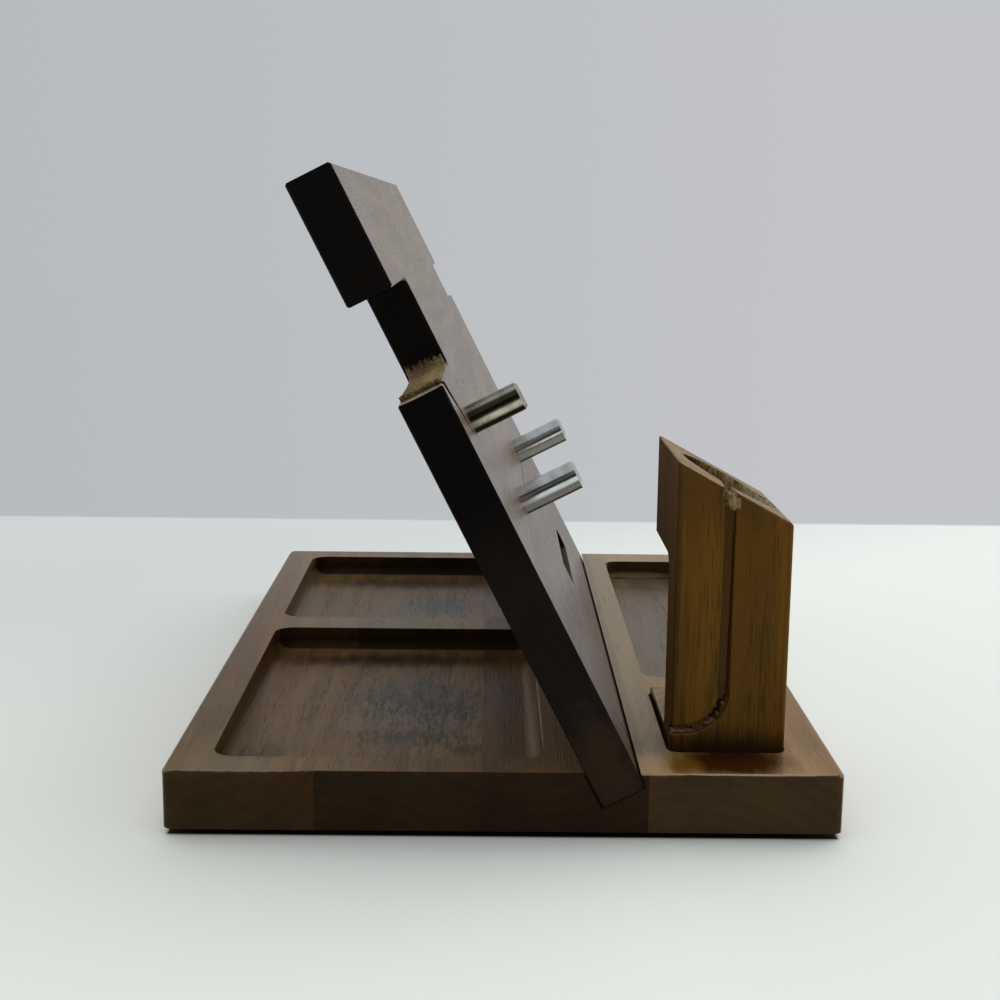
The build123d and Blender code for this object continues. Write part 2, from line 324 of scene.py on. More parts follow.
@dataclass(frozen=True)
class Graph:
    """A small hand for wiring shader nodes in one tree: a material's, world's or group's."""

    tree: Tree

    def node(self, kind: str, *sources: Source, **settings: object) -> Node:
        """Adds a node, sets its options and fills its first inputs.

        Args:
            kind: The node's type name.
            *sources: The sources of its first inputs, in order.
            **settings: Attributes of the node to set.

        Returns:
            The new node.
        """
        made = self.tree.nodes.new(kind)
        for name, value in settings.items():
            setattr(made, name, value)
        for socket, source in zip(made.inputs, sources):
            self.feed(socket, source)
        return made

    def feed(self, socket: Socket, source: Source) -> None:
        """Links a socket to its source, or sets it where the source is a plain value.

        Args:
            socket: The input to fill.
            source: An output socket, a number, a vector or a colour.
        """
        if isinstance(source, Socket):
            self.tree.links.new(source, socket)
        else:
            socket.default_value = source

    def fill(self, node: Node, **sources: Source) -> Node:
        """Fills inputs of a node by their names.

        Args:
            node: The node.
            **sources: A source for each input, with the input's name in lower case and its spaces as low lines.

        Returns:
            The same node.
        """
        named: dict[str, Socket] = {}
        for socket in node.inputs:
            named.setdefault(socket.name.lower().replace(" ", "_"), socket)
        for name, source in sources.items():
            self.feed(named[name], source)
        return node

    def math(self, operation: str, first: Source, second: Source = 0.0, clamp: bool = False) -> Socket:
        """Returns the result of a Math node on one or two numbers, kept between 0 and 1 where clamp is true."""
        return self.node("ShaderNodeMath", first, second, operation=operation, use_clamp=clamp).outputs[0]

    def plus(self, first: Source, second: Source) -> Socket:
        """Returns the sum of two numbers."""
        return self.math("ADD", first, second)

    def less(self, first: Source, second: Source) -> Socket:
        """Returns the first number less the second."""
        return self.math("SUBTRACT", first, second)

    def times(self, first: Source, second: Source) -> Socket:
        """Returns the product of two numbers."""
        return self.math("MULTIPLY", first, second)

    def vector(self, operation: str, first: Source, second: Source = (0.0, 0.0, 0.0)) -> Socket:
        """Returns the result of a Vector Math node: a vector, or a number where the operation gives one."""
        output = "Value" if operation in ("DOT_PRODUCT", "LENGTH", "DISTANCE") else "Vector"
        return self.node("ShaderNodeVectorMath", first, second, operation=operation).outputs[output]

    def scaled(self, vector: Source, factor: Source) -> Socket:
        """Returns a vector times a number."""
        made = self.node("ShaderNodeVectorMath", vector, operation="SCALE")
        return self.fill(made, scale=factor).outputs[0]

    def noise(
        self, vector: Source, stretch: Triple, detail: float = 2.0, roughness: float = 0.5, output: str = "Fac",
    ) -> Socket:
        """Returns a Noise Texture whose grains are stretched by a scale along each axis.

        Args:
            vector: The place, in metres.
            stretch: Grains per metre along X, Y and Z.
            detail: The noise's detail.
            roughness: The share of the finer octaves.
            output: The output to use, Fac for a number or Color for a vector.

        Returns:
            The output's socket.
        """
        stretched = self.vector("MULTIPLY", vector, stretch)
        made = self.node("ShaderNodeTexNoise")
        self.fill(made, vector=stretched, scale=1.0, detail=detail, roughness=roughness)
        return made.outputs[output]

    def band(self, value: Source, low: float, high: float) -> Socket:
        """Returns a smooth step from 0 at a low value to 1 at a high one.

        Args:
            value: The number to step.
            low: Where the step starts.
            high: Where it ends, which may be under the start.

        Returns:
            The step's socket.
        """
        made = self.node("ShaderNodeMapRange", interpolation_type="SMOOTHSTEP")
        rising = low < high
        self.fill(
            made, value=value, from_min=min(low, high), from_max=max(low, high), to_min=float(not rising),
            to_max=float(rising),
        )
        return made.outputs["Result"]

    def mix(self, factor: Source, first: Source, second: Source, blend: str = "MIX") -> Socket:
        """Returns a mix of two colours.

        Args:
            factor: The share of the second colour.
            first: The first colour.
            second: The second colour.
            blend: The way that they are mixed.

        Returns:
            The mixed colour's socket.
        """
        factor_at, first_at, second_at, result_at = 0, 6, 7, 2
        made = self.node("ShaderNodeMix", data_type="RGBA", blend_type=blend)
        for place, source in ((factor_at, factor), (first_at, first), (second_at, second)):
            self.feed(made.inputs[place], source)
        return made.outputs[result_at]

    def join(self, factor: Source, first: Socket, second: Socket) -> Socket:
        """Returns a mix of two shaders, with the share of the second."""
        return self.node("ShaderNodeMixShader", factor, first, second).outputs[0]

    def parts(self, vector: Source) -> tuple[Socket, ...]:
        """Returns a vector's X, Y and Z as three sockets."""
        return tuple(self.node("ShaderNodeSeparateXYZ", vector).outputs)

    def place(self) -> Socket:
        """Returns the place on a piece, in the model's frame."""
        return self.node("ShaderNodeTexCoord").outputs["Object"]

    def normal(self) -> Socket:
        """Returns the surface's normal."""
        return self.node("ShaderNodeNewGeometry").outputs["Normal"]

    def bump(self, height: Source, strength: float, distance: float) -> Socket:
        """Returns the normal of a surface with a relief.

        Args:
            height: The relief's height.
            strength: How much of it shows.
            distance: The height of 1, in metres.

        Returns:
            The normal's socket.
        """
        made = self.node("ShaderNodeBump")
        return self.fill(made, strength=strength, distance=distance, height=height).outputs["Normal"]

    def group(self, shared: Tree, **sources: Source) -> Node:
        """Places a shared node group and fills its inputs by their names, as fill does."""
        return self.fill(self.node("ShaderNodeGroup", node_tree=shared), **sources)


def new_material(name: str) -> tuple[Material, Graph, Node]:
    """Starts a material.

    Args:
        name: The material's name.

    Returns:
        The material, its graph and its Principled shader.
    """
    made = bpy.data.materials.new(name)
    made.use_nodes = True
    return made, Graph(made.node_tree), made.node_tree.nodes["Principled BSDF"]


@dataclass
class Effects:
    """The shader groups that several finishes share, each built once.

    Triples are a noise's grains per metre along X, Y and Z, and pairs are where a step starts and ends.
    """

    bend: Triple = (3.5, 17.0, 17.0)
    streaks: Triple = (11.0, 560.0, 560.0)
    pores: Triple = (95.0, 2400.0, 2400.0)
    bunches: Triple = (14.0, 160.0, 160.0)
    clouds: Triple = (15.0, 42.0, 42.0)
    ring_rise: Pair = (0.0, 0.8)
    ring_fall: Pair = (1.0, 0.86)
    pore_step: Pair = (0.56, 0.68)
    bunch_step: Pair = (0.36, 0.60)
    streak_height: float = 0.6
    pore_depth: float = 0.8
    wear: Triple = (55.0, 210.0, 210.0)
    patch_edge: float = 1.05
    ragged: Triple = (600.0, 600.0, 600.0)
    crack_step: Pair = (1.15, 0.75)
    least_crack: float = 0.00001

    def __post_init__(self) -> None:
        """Builds the groups."""
        self.grain = self._grain()
        self.patch = self._patch()
        self.crack = self._crack()
        self.facing = self._facing()

    @staticmethod
    def _start(name: str, vectors: Names, numbers: Names, results: Names) -> tuple[Graph, dict, dict]:
        """Starts a node group with named sockets.

        Args:
            name: The group's name.
            vectors: The names of its inputs that are vectors.
            numbers: The names of its inputs that are numbers.
            results: The names of its outputs, which are numbers.

        Returns:
            The group's graph, its inputs' sockets by name and its outputs' sockets by name.
        """
        tree = bpy.data.node_groups.new(name, "ShaderNodeTree")
        kinds = (("INPUT", "Vector", vectors), ("INPUT", "Float", numbers), ("OUTPUT", "Float", results))
        for side, kind, labels in kinds:
            for label in labels:
                tree.interface.new_socket(name=label, in_out=side, socket_type=f"NodeSocket{kind}")
        graph = Graph(tree)
        entry = graph.node("NodeGroupInput")
        leave = graph.node("NodeGroupOutput")
        return graph, {s.name: s for s in entry.outputs}, {s.name: s for s in leave.inputs}

    def _grain(self) -> Tree:
        """Builds timber whose fibres run along X.

        The distance from the pith, bent by a slow noise, counts the growth rings. Streaks and pores are noises
        drawn out along the fibres, and the cloud is a slow change of tone.

        Returns:
            The group's tree.
        """
        results = ("Rings", "Streaks", "Pores", "Cloud", "Height")
        graph, given, out = self._start("grain", ("Vector", "Pith"), ("Ring Gap", "Figure"), results)
        place = graph.vector("SUBTRACT", given["Vector"], given["Pith"])
        centred = graph.vector("SUBTRACT", graph.noise(place, self.bend, output="Color"), (0.5, 0.5, 0.5))
        bent = graph.vector("ADD", place, graph.scaled(centred, given["Figure"]))
        _, across, through = graph.parts(bent)
        radius = graph.math("SQRT", graph.plus(graph.times(across, across), graph.times(through, through)))
        turn = graph.math("FRACT", graph.math("DIVIDE", radius, given["Ring Gap"]))
        streaks = graph.noise(bent, self.streaks, detail=4.0, roughness=0.62)
        fine = graph.band(graph.noise(place, self.pores, detail=1.0), *self.pore_step)
        bunch = graph.band(graph.noise(place, self.bunches, detail=1.0), *self.bunch_step)
        pores = graph.times(fine, bunch)
        rings = graph.times(graph.band(turn, *self.ring_rise), graph.band(turn, *self.ring_fall))
        cloud = graph.noise(place, self.clouds, detail=4.0, roughness=0.6)
        height = graph.less(graph.times(streaks, self.streak_height), graph.times(pores, self.pore_depth))
        for label, source in zip(results, (rings, streaks, pores, cloud, height)):
            graph.feed(out[label], source)
        return graph.tree

    def _patch(self) -> Tree:
        """Builds a mark with a broken edge: 1 within an ellipsoid, 0 past it, with streaks of noise between.

        Returns:
            The group's tree.
        """
        numbers = ("Broken", "Soft", "Fine")
        graph, given, out = self._start("patch", ("Vector", "Centre", "Reach"), numbers, ("Mask",))
        away = graph.vector("SUBTRACT", given["Vector"], given["Centre"])
        length = graph.vector("LENGTH", graph.vector("DIVIDE", away, given["Reach"]))
        finer = graph.scaled(given["Vector"], given["Fine"])
        wear = graph.noise(finer, self.wear, detail=3.0, roughness=0.65)
        edge = graph.times(graph.less(wear, 0.5), given["Broken"])
        inside = graph.math("DIVIDE", graph.less(self.patch_edge, graph.plus(length, edge)), given["Soft"])
        graph.feed(out["Mask"], graph.band(inside, 0.0, 1.0))
        return graph.tree

    def _crack(self) -> Tree:
        """Builds a thin line from one point to another, widest at its start and closing to nothing, for splits and
        for painted shadows along gaps.

        The place's nearest point on the line gives its distance, which is compared with the width left there.

        Returns:
            The group's tree.
        """
        graph, given, out = self._start("crack", ("Vector", "Start", "Finish"), ("Width", "Taper"), ("Mask",))
        run, away = (graph.vector("SUBTRACT", given[end], given["Start"]) for end in ("Finish", "Vector"))
        dots = [graph.vector("DOT_PRODUCT", side, run) for side in (away, run)]
        along = graph.math("DIVIDE", *dots, clamp=True)
        gap = graph.vector("DISTANCE", away, graph.scaled(run, along))
        left = graph.less(1.0, graph.times(along, given["Taper"]))
        ragged = graph.plus(graph.noise(given["Vector"], self.ragged), 0.5)
        width = graph.times(graph.times(given["Width"], left), ragged)
        share = graph.math("DIVIDE", gap, graph.math("MAXIMUM", width, self.least_crack))
        graph.feed(out["Mask"], graph.band(share, *self.crack_step))
        return graph.tree

    def _facing(self) -> Tree:
        """Builds how squarely a surface faces a direction, either way round: 1 square on, 0 side on.

        Returns:
            The group's tree.
        """
        graph, given, out = self._start("facing", ("Normal", "Direction"), (), ("Square",))
        turned = graph.vector("DOT_PRODUCT", given["Normal"], given["Direction"])
        graph.feed(out["Square"], graph.math("ABSOLUTE", turned))
        return graph.tree


@dataclass(frozen=True)
class GrainFrame:
    """How a piece's fibres lie, and how its ends and its drift of colour show.

    A frame with its fibres along X is turned, in degrees, and moved to its origin, in millimetres. The step says
    how square to the fibres a face of end grain is. The drift of colour has so many grains per metre across them.
    """

    turn: Triple = (0.0, 0.0, 0.0)
    origin: Triple = (0.0, 0.0, 0.0)
    end_step: Pair = (0.5, 0.68)
    drift_across: float = 30.0

    @property
    def radians(self) -> Triple:
        """The turn in radians."""
        return tuple(math.radians(value) for value in self.turn)

    def axis(self, local: int) -> Triple:
        """Returns a local axis, 0 for X to 2 for Z, as a direction in the model."""
        about_x, about_y, _ = self.radians
        return tuple((Matrix.Rotation(about_x, 3, "X") @ Matrix.Rotation(about_y, 3, "Y")).col[local])

    def place(self, graph: Graph) -> Socket:
        """Returns the place on a piece in its grain frame, with the fibres along X."""
        mapping = graph.node("ShaderNodeMapping", vector_type="TEXTURE")
        graph.fill(mapping, vector=graph.place(), location=metres(self.origin), rotation=self.radians)
        return mapping.outputs["Vector"]


class Fibres(Enum):
    """The ways that the pieces' fibres run: along the base, along the leaning back board, and up the post."""

    BASE = GrainFrame()
    BOARD = GrainFrame((90.0 - LAYOUT.lean, 0.0, 0.0), LAYOUT.board_foot, (0.25, 0.6))
    POST = GrainFrame(
        (0.0, -90.0, 0.0), (LAYOUT.post_left, LAYOUT.post_front, LAYOUT.base_top), (0.55, 0.9), 130.0,
    )


@dataclass(frozen=True)
class Mark:
    """A stain, worn place, bare spot, or patch of painted light or shade: an ellipsoid in the piece's own grain
    frame, in millimetres.
    """

    centre: Triple
    reach: Triple
    colour: Colour
    strength: float = 1.0
    broken: float = 1.0
    soft: float = 0.3
    fine: float = 1.0

    def mask(self, graph: Graph, effects: Effects, local: Socket) -> Socket:
        """Returns how strongly the mark shows at a place.

        Args:
            graph: The material's graph.
            effects: The shared shader groups.
            local: The place in the grain frame.

        Returns:
            The mask's socket.
        """
        patch = graph.group(
            effects.patch, vector=local, centre=metres(self.centre), reach=metres(self.reach),
            broken=self.broken, soft=self.soft, fine=self.fine,
        )
        return graph.times(patch.outputs[0], self.strength)


@dataclass(frozen=True)
class Split:
    """A thin line in the piece's own grain frame, in millimetres: a split in the wood, and also a painted shadow
    along a gap between parts.
    """

    start: Triple
    finish: Triple
    width: float
    taper: float = 1.0
    colour: Colour = (0.006, 0.004, 0.003)

    def mask(self, graph: Graph, effects: Effects, local: Socket) -> Socket:
        """Returns 1 within the split and 0 outside it, as a mark's mask does."""
        return graph.group(
            effects.crack, vector=local, start=metres(self.start), finish=metres(self.finish),
            width=self.width * MM, taper=self.taper,
        ).outputs[0]


@dataclass(frozen=True)
class Stave:
    """One sawn piece of timber and its marks: those that it has picked up, and painted light and shade."""

    node: str
    fibres: Fibres
    pith: Pair
    end_colour: Colour
    tint: Colour = (1.0, 1.0, 1.0)
    lacquer: float = 0.6
    rubbed: float = 0.15
    open_grain: float = 1.0
    streaks: float = 0.6
    drift: float = 0.6
    matt: float = 0.0
    marks: tuple[Mark, ...] = ()
    splits: tuple[Split, ...] = ()


@dataclass(frozen=True)
class TimberFinish:
    """Dark stain under thin satin lacquer: its colours, the scale of the grain, and how both show.

    Triples that aren't colours are a noise's grains per metre along X, Y and Z, and pairs are where a step starts
    and ends.
    """

    light: Colour = (0.125, 0.078, 0.034)
    middle: Colour = (0.086, 0.052, 0.021)
    dark: Colour = (0.038, 0.021, 0.008)
    worn: Colour = (0.290, 0.205, 0.115)
    red_drift: Colour = (1.16, 0.93, 0.80)
    green_drift: Colour = (0.90, 1.03, 1.04)
    drift_along: float = 9.0
    drift_step: Pair = (0.38, 0.62)
    ring_gap: float = 5.5
    figure: float = 22.0
    ring_depth: float = 0.3
    cloud_depth: float = 1.1
    depth_step: Pair = (0.40, 1.05)
    streak_step: Pair = (0.50, 0.72)
    pore_stain: float = 0.9
    end_dots: Triple = (1100.0, 1100.0, 1100.0)
    end_dot_step: Pair = (0.45, 0.70)
    end_dot_stain: float = 0.18
    end_ring_stain: float = 0.15
    end_blotches: Triple = (60.0, 60.0, 60.0)
    end_blotch_step: Pair = (0.35, 0.7)
    end_blotch_stain: float = 0.3
    end_deep: float = 0.35
    end_pale: float = 1.25
    arris_rise: Pair = (0.5, 0.66)
    arris_fall: Pair = (0.9, 0.78)
    arris_depths: Pair = (1.1, 0.8)
    rubs: Triple = (45.0, 70.0, 70.0)
    rub_step: Pair = (0.35, 0.65)
    rub_share: float = 0.4
    roughness: float = 0.5
    rough_swing: float = 0.2
    relief: float = 0.5
    relief_height: float = 0.3 * MM
    split_depth: float = 4.0
    lacquer_roughness: float = 0.34
    lacquer_fade: Pair = (-0.16, 0.14)
    lacquer_swing: float = 0.4
    lacquer_lost: float = 0.3
    bare_gloss: float = 0.06


class StaveShader:
    """The material of one stave while it is wired, with what its parts share."""

    def __init__(self, stave: Stave, finish: TimberFinish, effects: Effects) -> None:
        """Starts the material.

        Args:
            stave: The stave, with its grain and its marks.
            finish: The timber's colours and grain.
            effects: The shared shader groups.
        """
        self.stave, self.finish, self.effects = stave, finish, effects
        self.made, self.graph, self.shader = new_material(f"stained_{stave.node}")
        lie = stave.fibres.value
        self.local = lie.place(self.graph)
        self.normal = self.graph.normal()
        self.grain = self.graph.group(
            effects.grain, vector=self.local, pith=metres((0.0, *stave.pith)),
            ring_gap=finish.ring_gap * MM, figure=finish.figure * MM,
        ).outputs
        self.end = self.graph.band(self._square(lie.axis(0)), *lie.end_step)

    def wire(self) -> Material:
        """Wires the colour, the lacquer, the relief, the marks and the splits.

        Returns:
            The material.
        """
        graph, finish, stave = self.graph, self.finish, self.stave
        colour = self._drifted(graph.mix(self.end, self._long_grain(), self._end_grain()))
        if stave.fibres is Fibres.BASE:
            colour = graph.mix(self.end, self._rubbed(colour), colour)
        least = finish.roughness - finish.rough_swing / 2.0 + stave.matt
        rough = graph.plus(graph.times(self.grain["Cloud"], finish.rough_swing), least)
        film = self._film()
        height = graph.times(self.grain["Height"], stave.open_grain)
        for mark in stave.marks:
            colour = graph.mix(mark.mask(graph, self.effects, self.local), colour, rgba(mark.colour))
        for split in stave.splits:
            mask = split.mask(graph, self.effects, self.local)
            colour = graph.mix(mask, colour, rgba(split.colour))
            film = graph.times(film, graph.less(1.0, mask))
            rough = graph.math("MAXIMUM", rough, mask)
            height = graph.less(height, graph.times(mask, finish.split_depth))
        bumped = graph.bump(height, finish.relief, finish.relief_height)
        graph.fill(
            self.shader, base_color=colour, roughness=rough, normal=bumped, specular_ior_level=finish.bare_gloss,
            coat_weight=film, coat_normal=bumped, coat_roughness=finish.lacquer_roughness,
        )
        return self.made

    def _square(self, direction: Triple) -> Socket:
        """Returns how squarely the surface faces a direction."""
        return self.graph.group(self.effects.facing, normal=self.normal, direction=direction).outputs[0]

    def _long_grain(self) -> Socket:
        """Returns the stained colour on faces along the fibres."""
        graph, finish, out = self.graph, self.finish, self.grain
        rings = graph.times(out["Rings"], finish.ring_depth)
        depth = graph.plus(rings, graph.times(out["Cloud"], finish.cloud_depth))
        colour = graph.mix(graph.band(depth, *finish.depth_step), rgba(finish.light), rgba(finish.middle))
        streak = graph.times(graph.band(out["Streaks"], *finish.streak_step), self.stave.streaks)
        colour = graph.mix(streak, colour, rgba(finish.dark))
        pores = graph.times(out["Pores"], finish.pore_stain * self.stave.streaks)
        colour = graph.mix(pores, colour, rgba(finish.dark))
        return graph.mix(1.0, colour, rgba(self.stave.tint), "MULTIPLY")

    def _end_grain(self) -> Socket:
        """Returns the colour of the ends, where the open fibres drink the stain."""
        graph, finish = self.graph, self.finish
        dots = graph.band(graph.noise(self.local, finish.end_dots), *finish.end_dot_step)
        blotch = graph.noise(self.local, finish.end_blotches, detail=4.0, roughness=0.6)
        dark = graph.times(dots, finish.end_dot_stain)
        dark = graph.plus(dark, graph.times(self.grain["Rings"], finish.end_ring_stain))
        dark = graph.plus(dark, graph.times(graph.band(blotch, *finish.end_blotch_step), finish.end_blotch_stain))
        pale, deep = (
            rgba(tuple(value * share for value in self.stave.end_colour))
            for share in (finish.end_pale, finish.end_deep)
        )
        return graph.mix(dark, pale, deep)

    def _drifted(self, colour: Socket) -> Socket:
        """Returns a colour that drifts slowly between red and green."""
        graph, finish = self.graph, self.finish
        across = self.stave.fibres.value.drift_across
        drift = graph.noise(self.local, (finish.drift_along, across, across), detail=3.0, roughness=0.6)
        tint = graph.mix(graph.band(drift, *finish.drift_step), rgba(finish.red_drift), rgba(finish.green_drift))
        return graph.mix(self.stave.drift, colour, tint, "MULTIPLY")

    def _rubbed(self, colour: Socket) -> Socket:
        """Returns a colour with the stain rubbed thin along the base's top arris."""
        graph, finish = self.graph, self.finish
        square = self._square(self.stave.fibres.value.axis(2))
        edge = graph.times(graph.band(square, *finish.arris_rise), graph.band(square, *finish.arris_fall))
        _, _, up = graph.parts(self.local)
        under, full = ((LAYOUT.base_top - depth) * MM for depth in finish.arris_depths)
        edge = graph.times(edge, graph.band(up, under, full))
        rub = graph.band(graph.noise(self.local, finish.rubs, detail=4.0, roughness=0.6), *finish.rub_step)
        share = graph.math("ADD", graph.times(rub, finish.rub_share), self.stave.rubbed, clamp=True)
        return graph.mix(graph.times(edge, share), colour, rgba(finish.worn))

    def _film(self) -> Socket:
        """Returns how thick the lacquer is: none on the ends, and on the base more towards its far end."""
        graph, finish = self.graph, self.finish
        film = graph.times(graph.less(1.0, self.end), graph.plus(self.grain["Cloud"], 0.5))
        polish = self.stave.lacquer
        if self.stave.fibres is Fibres.BASE:
            along, _, _ = graph.parts(self.local)
            polish = graph.times(graph.band(along, *finish.lacquer_fade), finish.lacquer_swing)
            polish = graph.plus(polish, self.stave.lacquer - finish.lacquer_lost)
        return graph.math("MULTIPLY", film, polish, clamp=True)


@dataclass(frozen=True)
class Timber:
    """Makes the material of each stave from the timber's finish and the shared shader groups."""

    effects: Effects
    finish: TimberFinish = TimberFinish()

    def material(self, stave: Stave) -> Material:
        """Returns the material of one stave."""
        return StaveShader(stave, self.finish, self.effects).wire()


@dataclass(frozen=True)
class RawWoodFinish:
    """Unstained wood where a cutter tore the fibres."""

    pale: Colour = (0.390, 0.285, 0.130)
    brown: Colour = (0.115, 0.072, 0.028)
    pith: Triple = (0.0, 0.013, 0.021)
    ring_gap: float = 0.004
    figure: float = 0.012
    fuzz: Triple = (420.0, 1300.0, 1300.0)
    cloud_depth: float = 0.7
    fuzz_depth: float = 0.6
    depth_step: Pair = (0.50, 0.78)
    pore_stain: float = 0.5
    roughness: float = 0.75
    rough_swing: float = 0.2
    relief: float = 0.9
    relief_height: float = 0.25 * MM
    gloss: float = 0.15

    def material(self, name: str, effects: Effects, fibres: Fibres, marks: tuple[Mark, ...] = ()) -> Material:
        """Builds the material.

        Args:
            name: The material's name.
            effects: The shared shader groups.
            fibres: The way that the piece's fibres run.
            marks: Its lighter and darker places.

        Returns:
            The material.
        """
        made, graph, shader = new_material(name)
        local = fibres.value.place(graph)
        grain = graph.group(
            effects.grain, vector=local, pith=self.pith, ring_gap=self.ring_gap, figure=self.figure,
        ).outputs
        fuzz = graph.noise(local, self.fuzz, detail=3.0, roughness=0.65)
        depth = graph.plus(graph.times(grain["Cloud"], self.cloud_depth), graph.times(fuzz, self.fuzz_depth))
        colour = graph.mix(graph.band(depth, *self.depth_step), rgba(self.pale), rgba(self.brown))
        for mark in marks:
            colour = graph.mix(mark.mask(graph, effects, local), colour, rgba(mark.colour))
        graph.fill(
            shader,
            base_color=graph.mix(graph.times(grain["Pores"], self.pore_stain), colour, rgba(self.brown)),
            roughness=graph.plus(graph.times(fuzz, self.rough_swing), self.roughness),
            normal=graph.bump(graph.plus(fuzz, grain["Height"]), self.relief, self.relief_height),
            specular_ior_level=self.gloss,
        )
        return made


@dataclass(frozen=True)
class SteelFinish:
    """Polished steel with the faint lines of turning and smears of tarnish, and painted reflections in bands along
    it.

    Each band is an angle round the peg, from 0 on its left side to 90 on top, half its width, and how dark it is:
    a painted reflection of the dim side of the room. Its edges are soft between two shares of that half width. The
    underside is painted in one tone, as a painted reflection of what lies below the peg.
    """

    name: str = "polished_steel"
    colour: Colour = (0.68, 0.70, 0.70)
    tarnish: Colour = (0.54, 0.55, 0.53)
    dark: Colour = (0.030, 0.030, 0.028)
    # The underside's painted reflection: its tone, where it starts and fades, and how matt it is.
    under: Colour = (0.70, 0.77, 0.80)
    under_start: float = 0.05
    under_fade: float = 0.3
    matt_under: float = 0.7
    smears: Triple = (90.0, 260.0, 260.0)
    smear_step: Pair = (0.35, 0.75)
    roughness: float = 0.12
    rough_swing: float = 0.12
    rough_lost: float = 0.05
    lines: Triple = (400.0, 2600.0, 1300.0)
    relief: float = 0.05
    relief_height: float = 0.1 * MM
    reflection_bands: tuple[Triple, ...] = ((25.0, 5.5, 0.62), (-62.0, 14.0, 0.85))
    band_edges: Pair = (1.25, 0.75)

    def _round(self, degrees: float) -> Triple:
        """Returns the direction at an angle round the peg's axis."""
        out, up = math.cos(math.radians(degrees)), math.sin(math.radians(degrees))
        lean = math.radians(LAYOUT.lean)
        return (-out, up * math.sin(lean), up * math.cos(lean))

    def material(self, effects: Effects) -> Material:
        """Returns the pegs' material."""
        made, graph, shader = new_material(self.name)
        place, normal = graph.place(), graph.normal()
        smear = graph.noise(place, self.smears, detail=3.0)
        colour = graph.mix(graph.band(smear, *self.smear_step), rgba(self.colour), rgba(self.tarnish))
        # Painted reflection: the underside takes one tone for what lies below the peg.
        turned = graph.vector("DOT_PRODUCT", normal, self._round(-90.0))
        below = graph.band(turned, self.under_start, self.under_start + self.under_fade)
        colour = graph.mix(below, colour, rgba(self.under))
        # Painted reflection: darker bands where the dim side of the room would be mirrored.
        for middle, half, strength in self.reflection_bands:
            square = graph.group(effects.facing, normal=normal, direction=self._round(middle)).outputs[0]
            edges = (math.cos(math.radians(half * share)) for share in self.band_edges)
            colour = graph.mix(graph.times(graph.band(square, *edges), strength), colour, rgba(self.dark))
        graph.fill(
            shader, base_color=colour, metallic=graph.less(1.0, graph.times(below, self.matt_under)),
            roughness=graph.plus(graph.times(smear, self.rough_swing), self.roughness - self.rough_lost),
            normal=graph.bump(graph.noise(place, self.lines), self.relief, self.relief_height),
        )
        return made


# The single peg: darker, tarnished steel, whose dark underside and bands are painted reflections.
TARNISHED_STEEL = SteelFinish(
    name="tarnished_steel", colour=(0.52, 0.49, 0.41), tarnish=(0.34, 0.31, 0.24), dark=(0.030, 0.027, 0.015),
    under=(0.020, 0.018, 0.008), under_start=0.42, matt_under=0.3, roughness=0.2, relief=0.3,
    reflection_bands=((17.0, 22.0, 0.96), (68.0, 11.0, 0.45)),
)


@dataclass(frozen=True)
class RubberFinish:
    """Matt black rubber with a fine pebble, dusty in places."""

    colour: Colour = (0.022, 0.021, 0.020)
    dust_gain: float = 2.2
    dust: Triple = (120.0, 120.0, 120.0)
    dust_step: Pair = (0.45, 0.75)
    pebbles: Triple = (1400.0, 1400.0, 1400.0)
    roughness: float = 0.6
    rough_swing: float = 0.2
    relief: float = 0.4
    relief_height: float = 0.2 * MM

    def material(self) -> Material:
        """Returns the feet's material."""
        made, graph, shader = new_material("foot_rubber")
        place = graph.place()
        dust = graph.noise(place, self.dust, detail=3.0)
        dusty = tuple(value * self.dust_gain for value in self.colour)
        graph.fill(
            shader, base_color=graph.mix(graph.band(dust, *self.dust_step), rgba(self.colour), rgba(dusty)),
            roughness=graph.plus(graph.times(dust, self.rough_swing), self.roughness),
            normal=graph.bump(graph.noise(place, self.pebbles), self.relief, self.relief_height),
        )
        return made


@dataclass(frozen=True)
class NotchFloor:
    """The layer of torn wood on the left notch's floor, in millimetres."""

    start: float = -143.0
    climb: float = 2.6
    crowding: float = 0.8
    inset: float = 0.7
    lip: float = 1.1
    lip_length: float = 12.0
    least: float = 0.12
    rough: float = 0.5
    sunk: float = -0.12
    top_gap: float = 0.2
    waves: float = 1.5
    teeth: float = 2.1
    sharpness: float = 1.5
    fade: float = 2.0
    overrun: float = -0.15
    jag: float = 0.9
    jag_length: float = 1.5
    grid: tuple[int, int] = (190, 150)

    def skin(self) -> Skin:
        """Builds the layer.

        Its line runs along the floor, round the corner's fillet and a little up the throat. At each share of that
        line and of the board's thickness, the layer stands off the wood by a height that falls from the lip at its
        near end, plus a noise, and sinks under the wood at the ragged top.

        Returns:
            The points and the faces.
        """
        rows, columns = self.grid
        radius = LAYOUT.notch_corner
        floor = LAYOUT.notch_throat - radius - self.start
        total = floor + radius * QUARTER + self.climb
        run = total * np.linspace(0.0, 1.0, rows) ** self.crowding
        line, lean = cornered(run, (self.start, LAYOUT.notch_bottom), floor, radius)
        run = run[:, None]
        ragged = torn_noise(rows, columns, (34, 14), 11)
        fall = self.lip * np.exp(-run / self.lip_length)
        waves, teeth = soft_noise(1, columns, (1, 7), 5), soft_noise(1, columns, (1, 52), 6)
        top = total - self.top_gap - (self.waves * waves + self.teeth * teeth ** self.sharpness)
        fade = np.clip((top - run) / self.fade, self.overrun, 1.0)
        height = (self.least + fall + self.rough * ragged) * fade
        jag = self.jag * soft_noise(1, columns, (1, 12), 8) - self.jag / 2.0
        near = line[:, :1] + jag * np.exp(-run / self.jag_length)
        depth = np.linspace(-self.inset, self.inset - LAYOUT.board_thickness, columns)
        return BOARD_FRAME.layer((near, line[:, 1:]), lean, (height, self.sunk), depth)


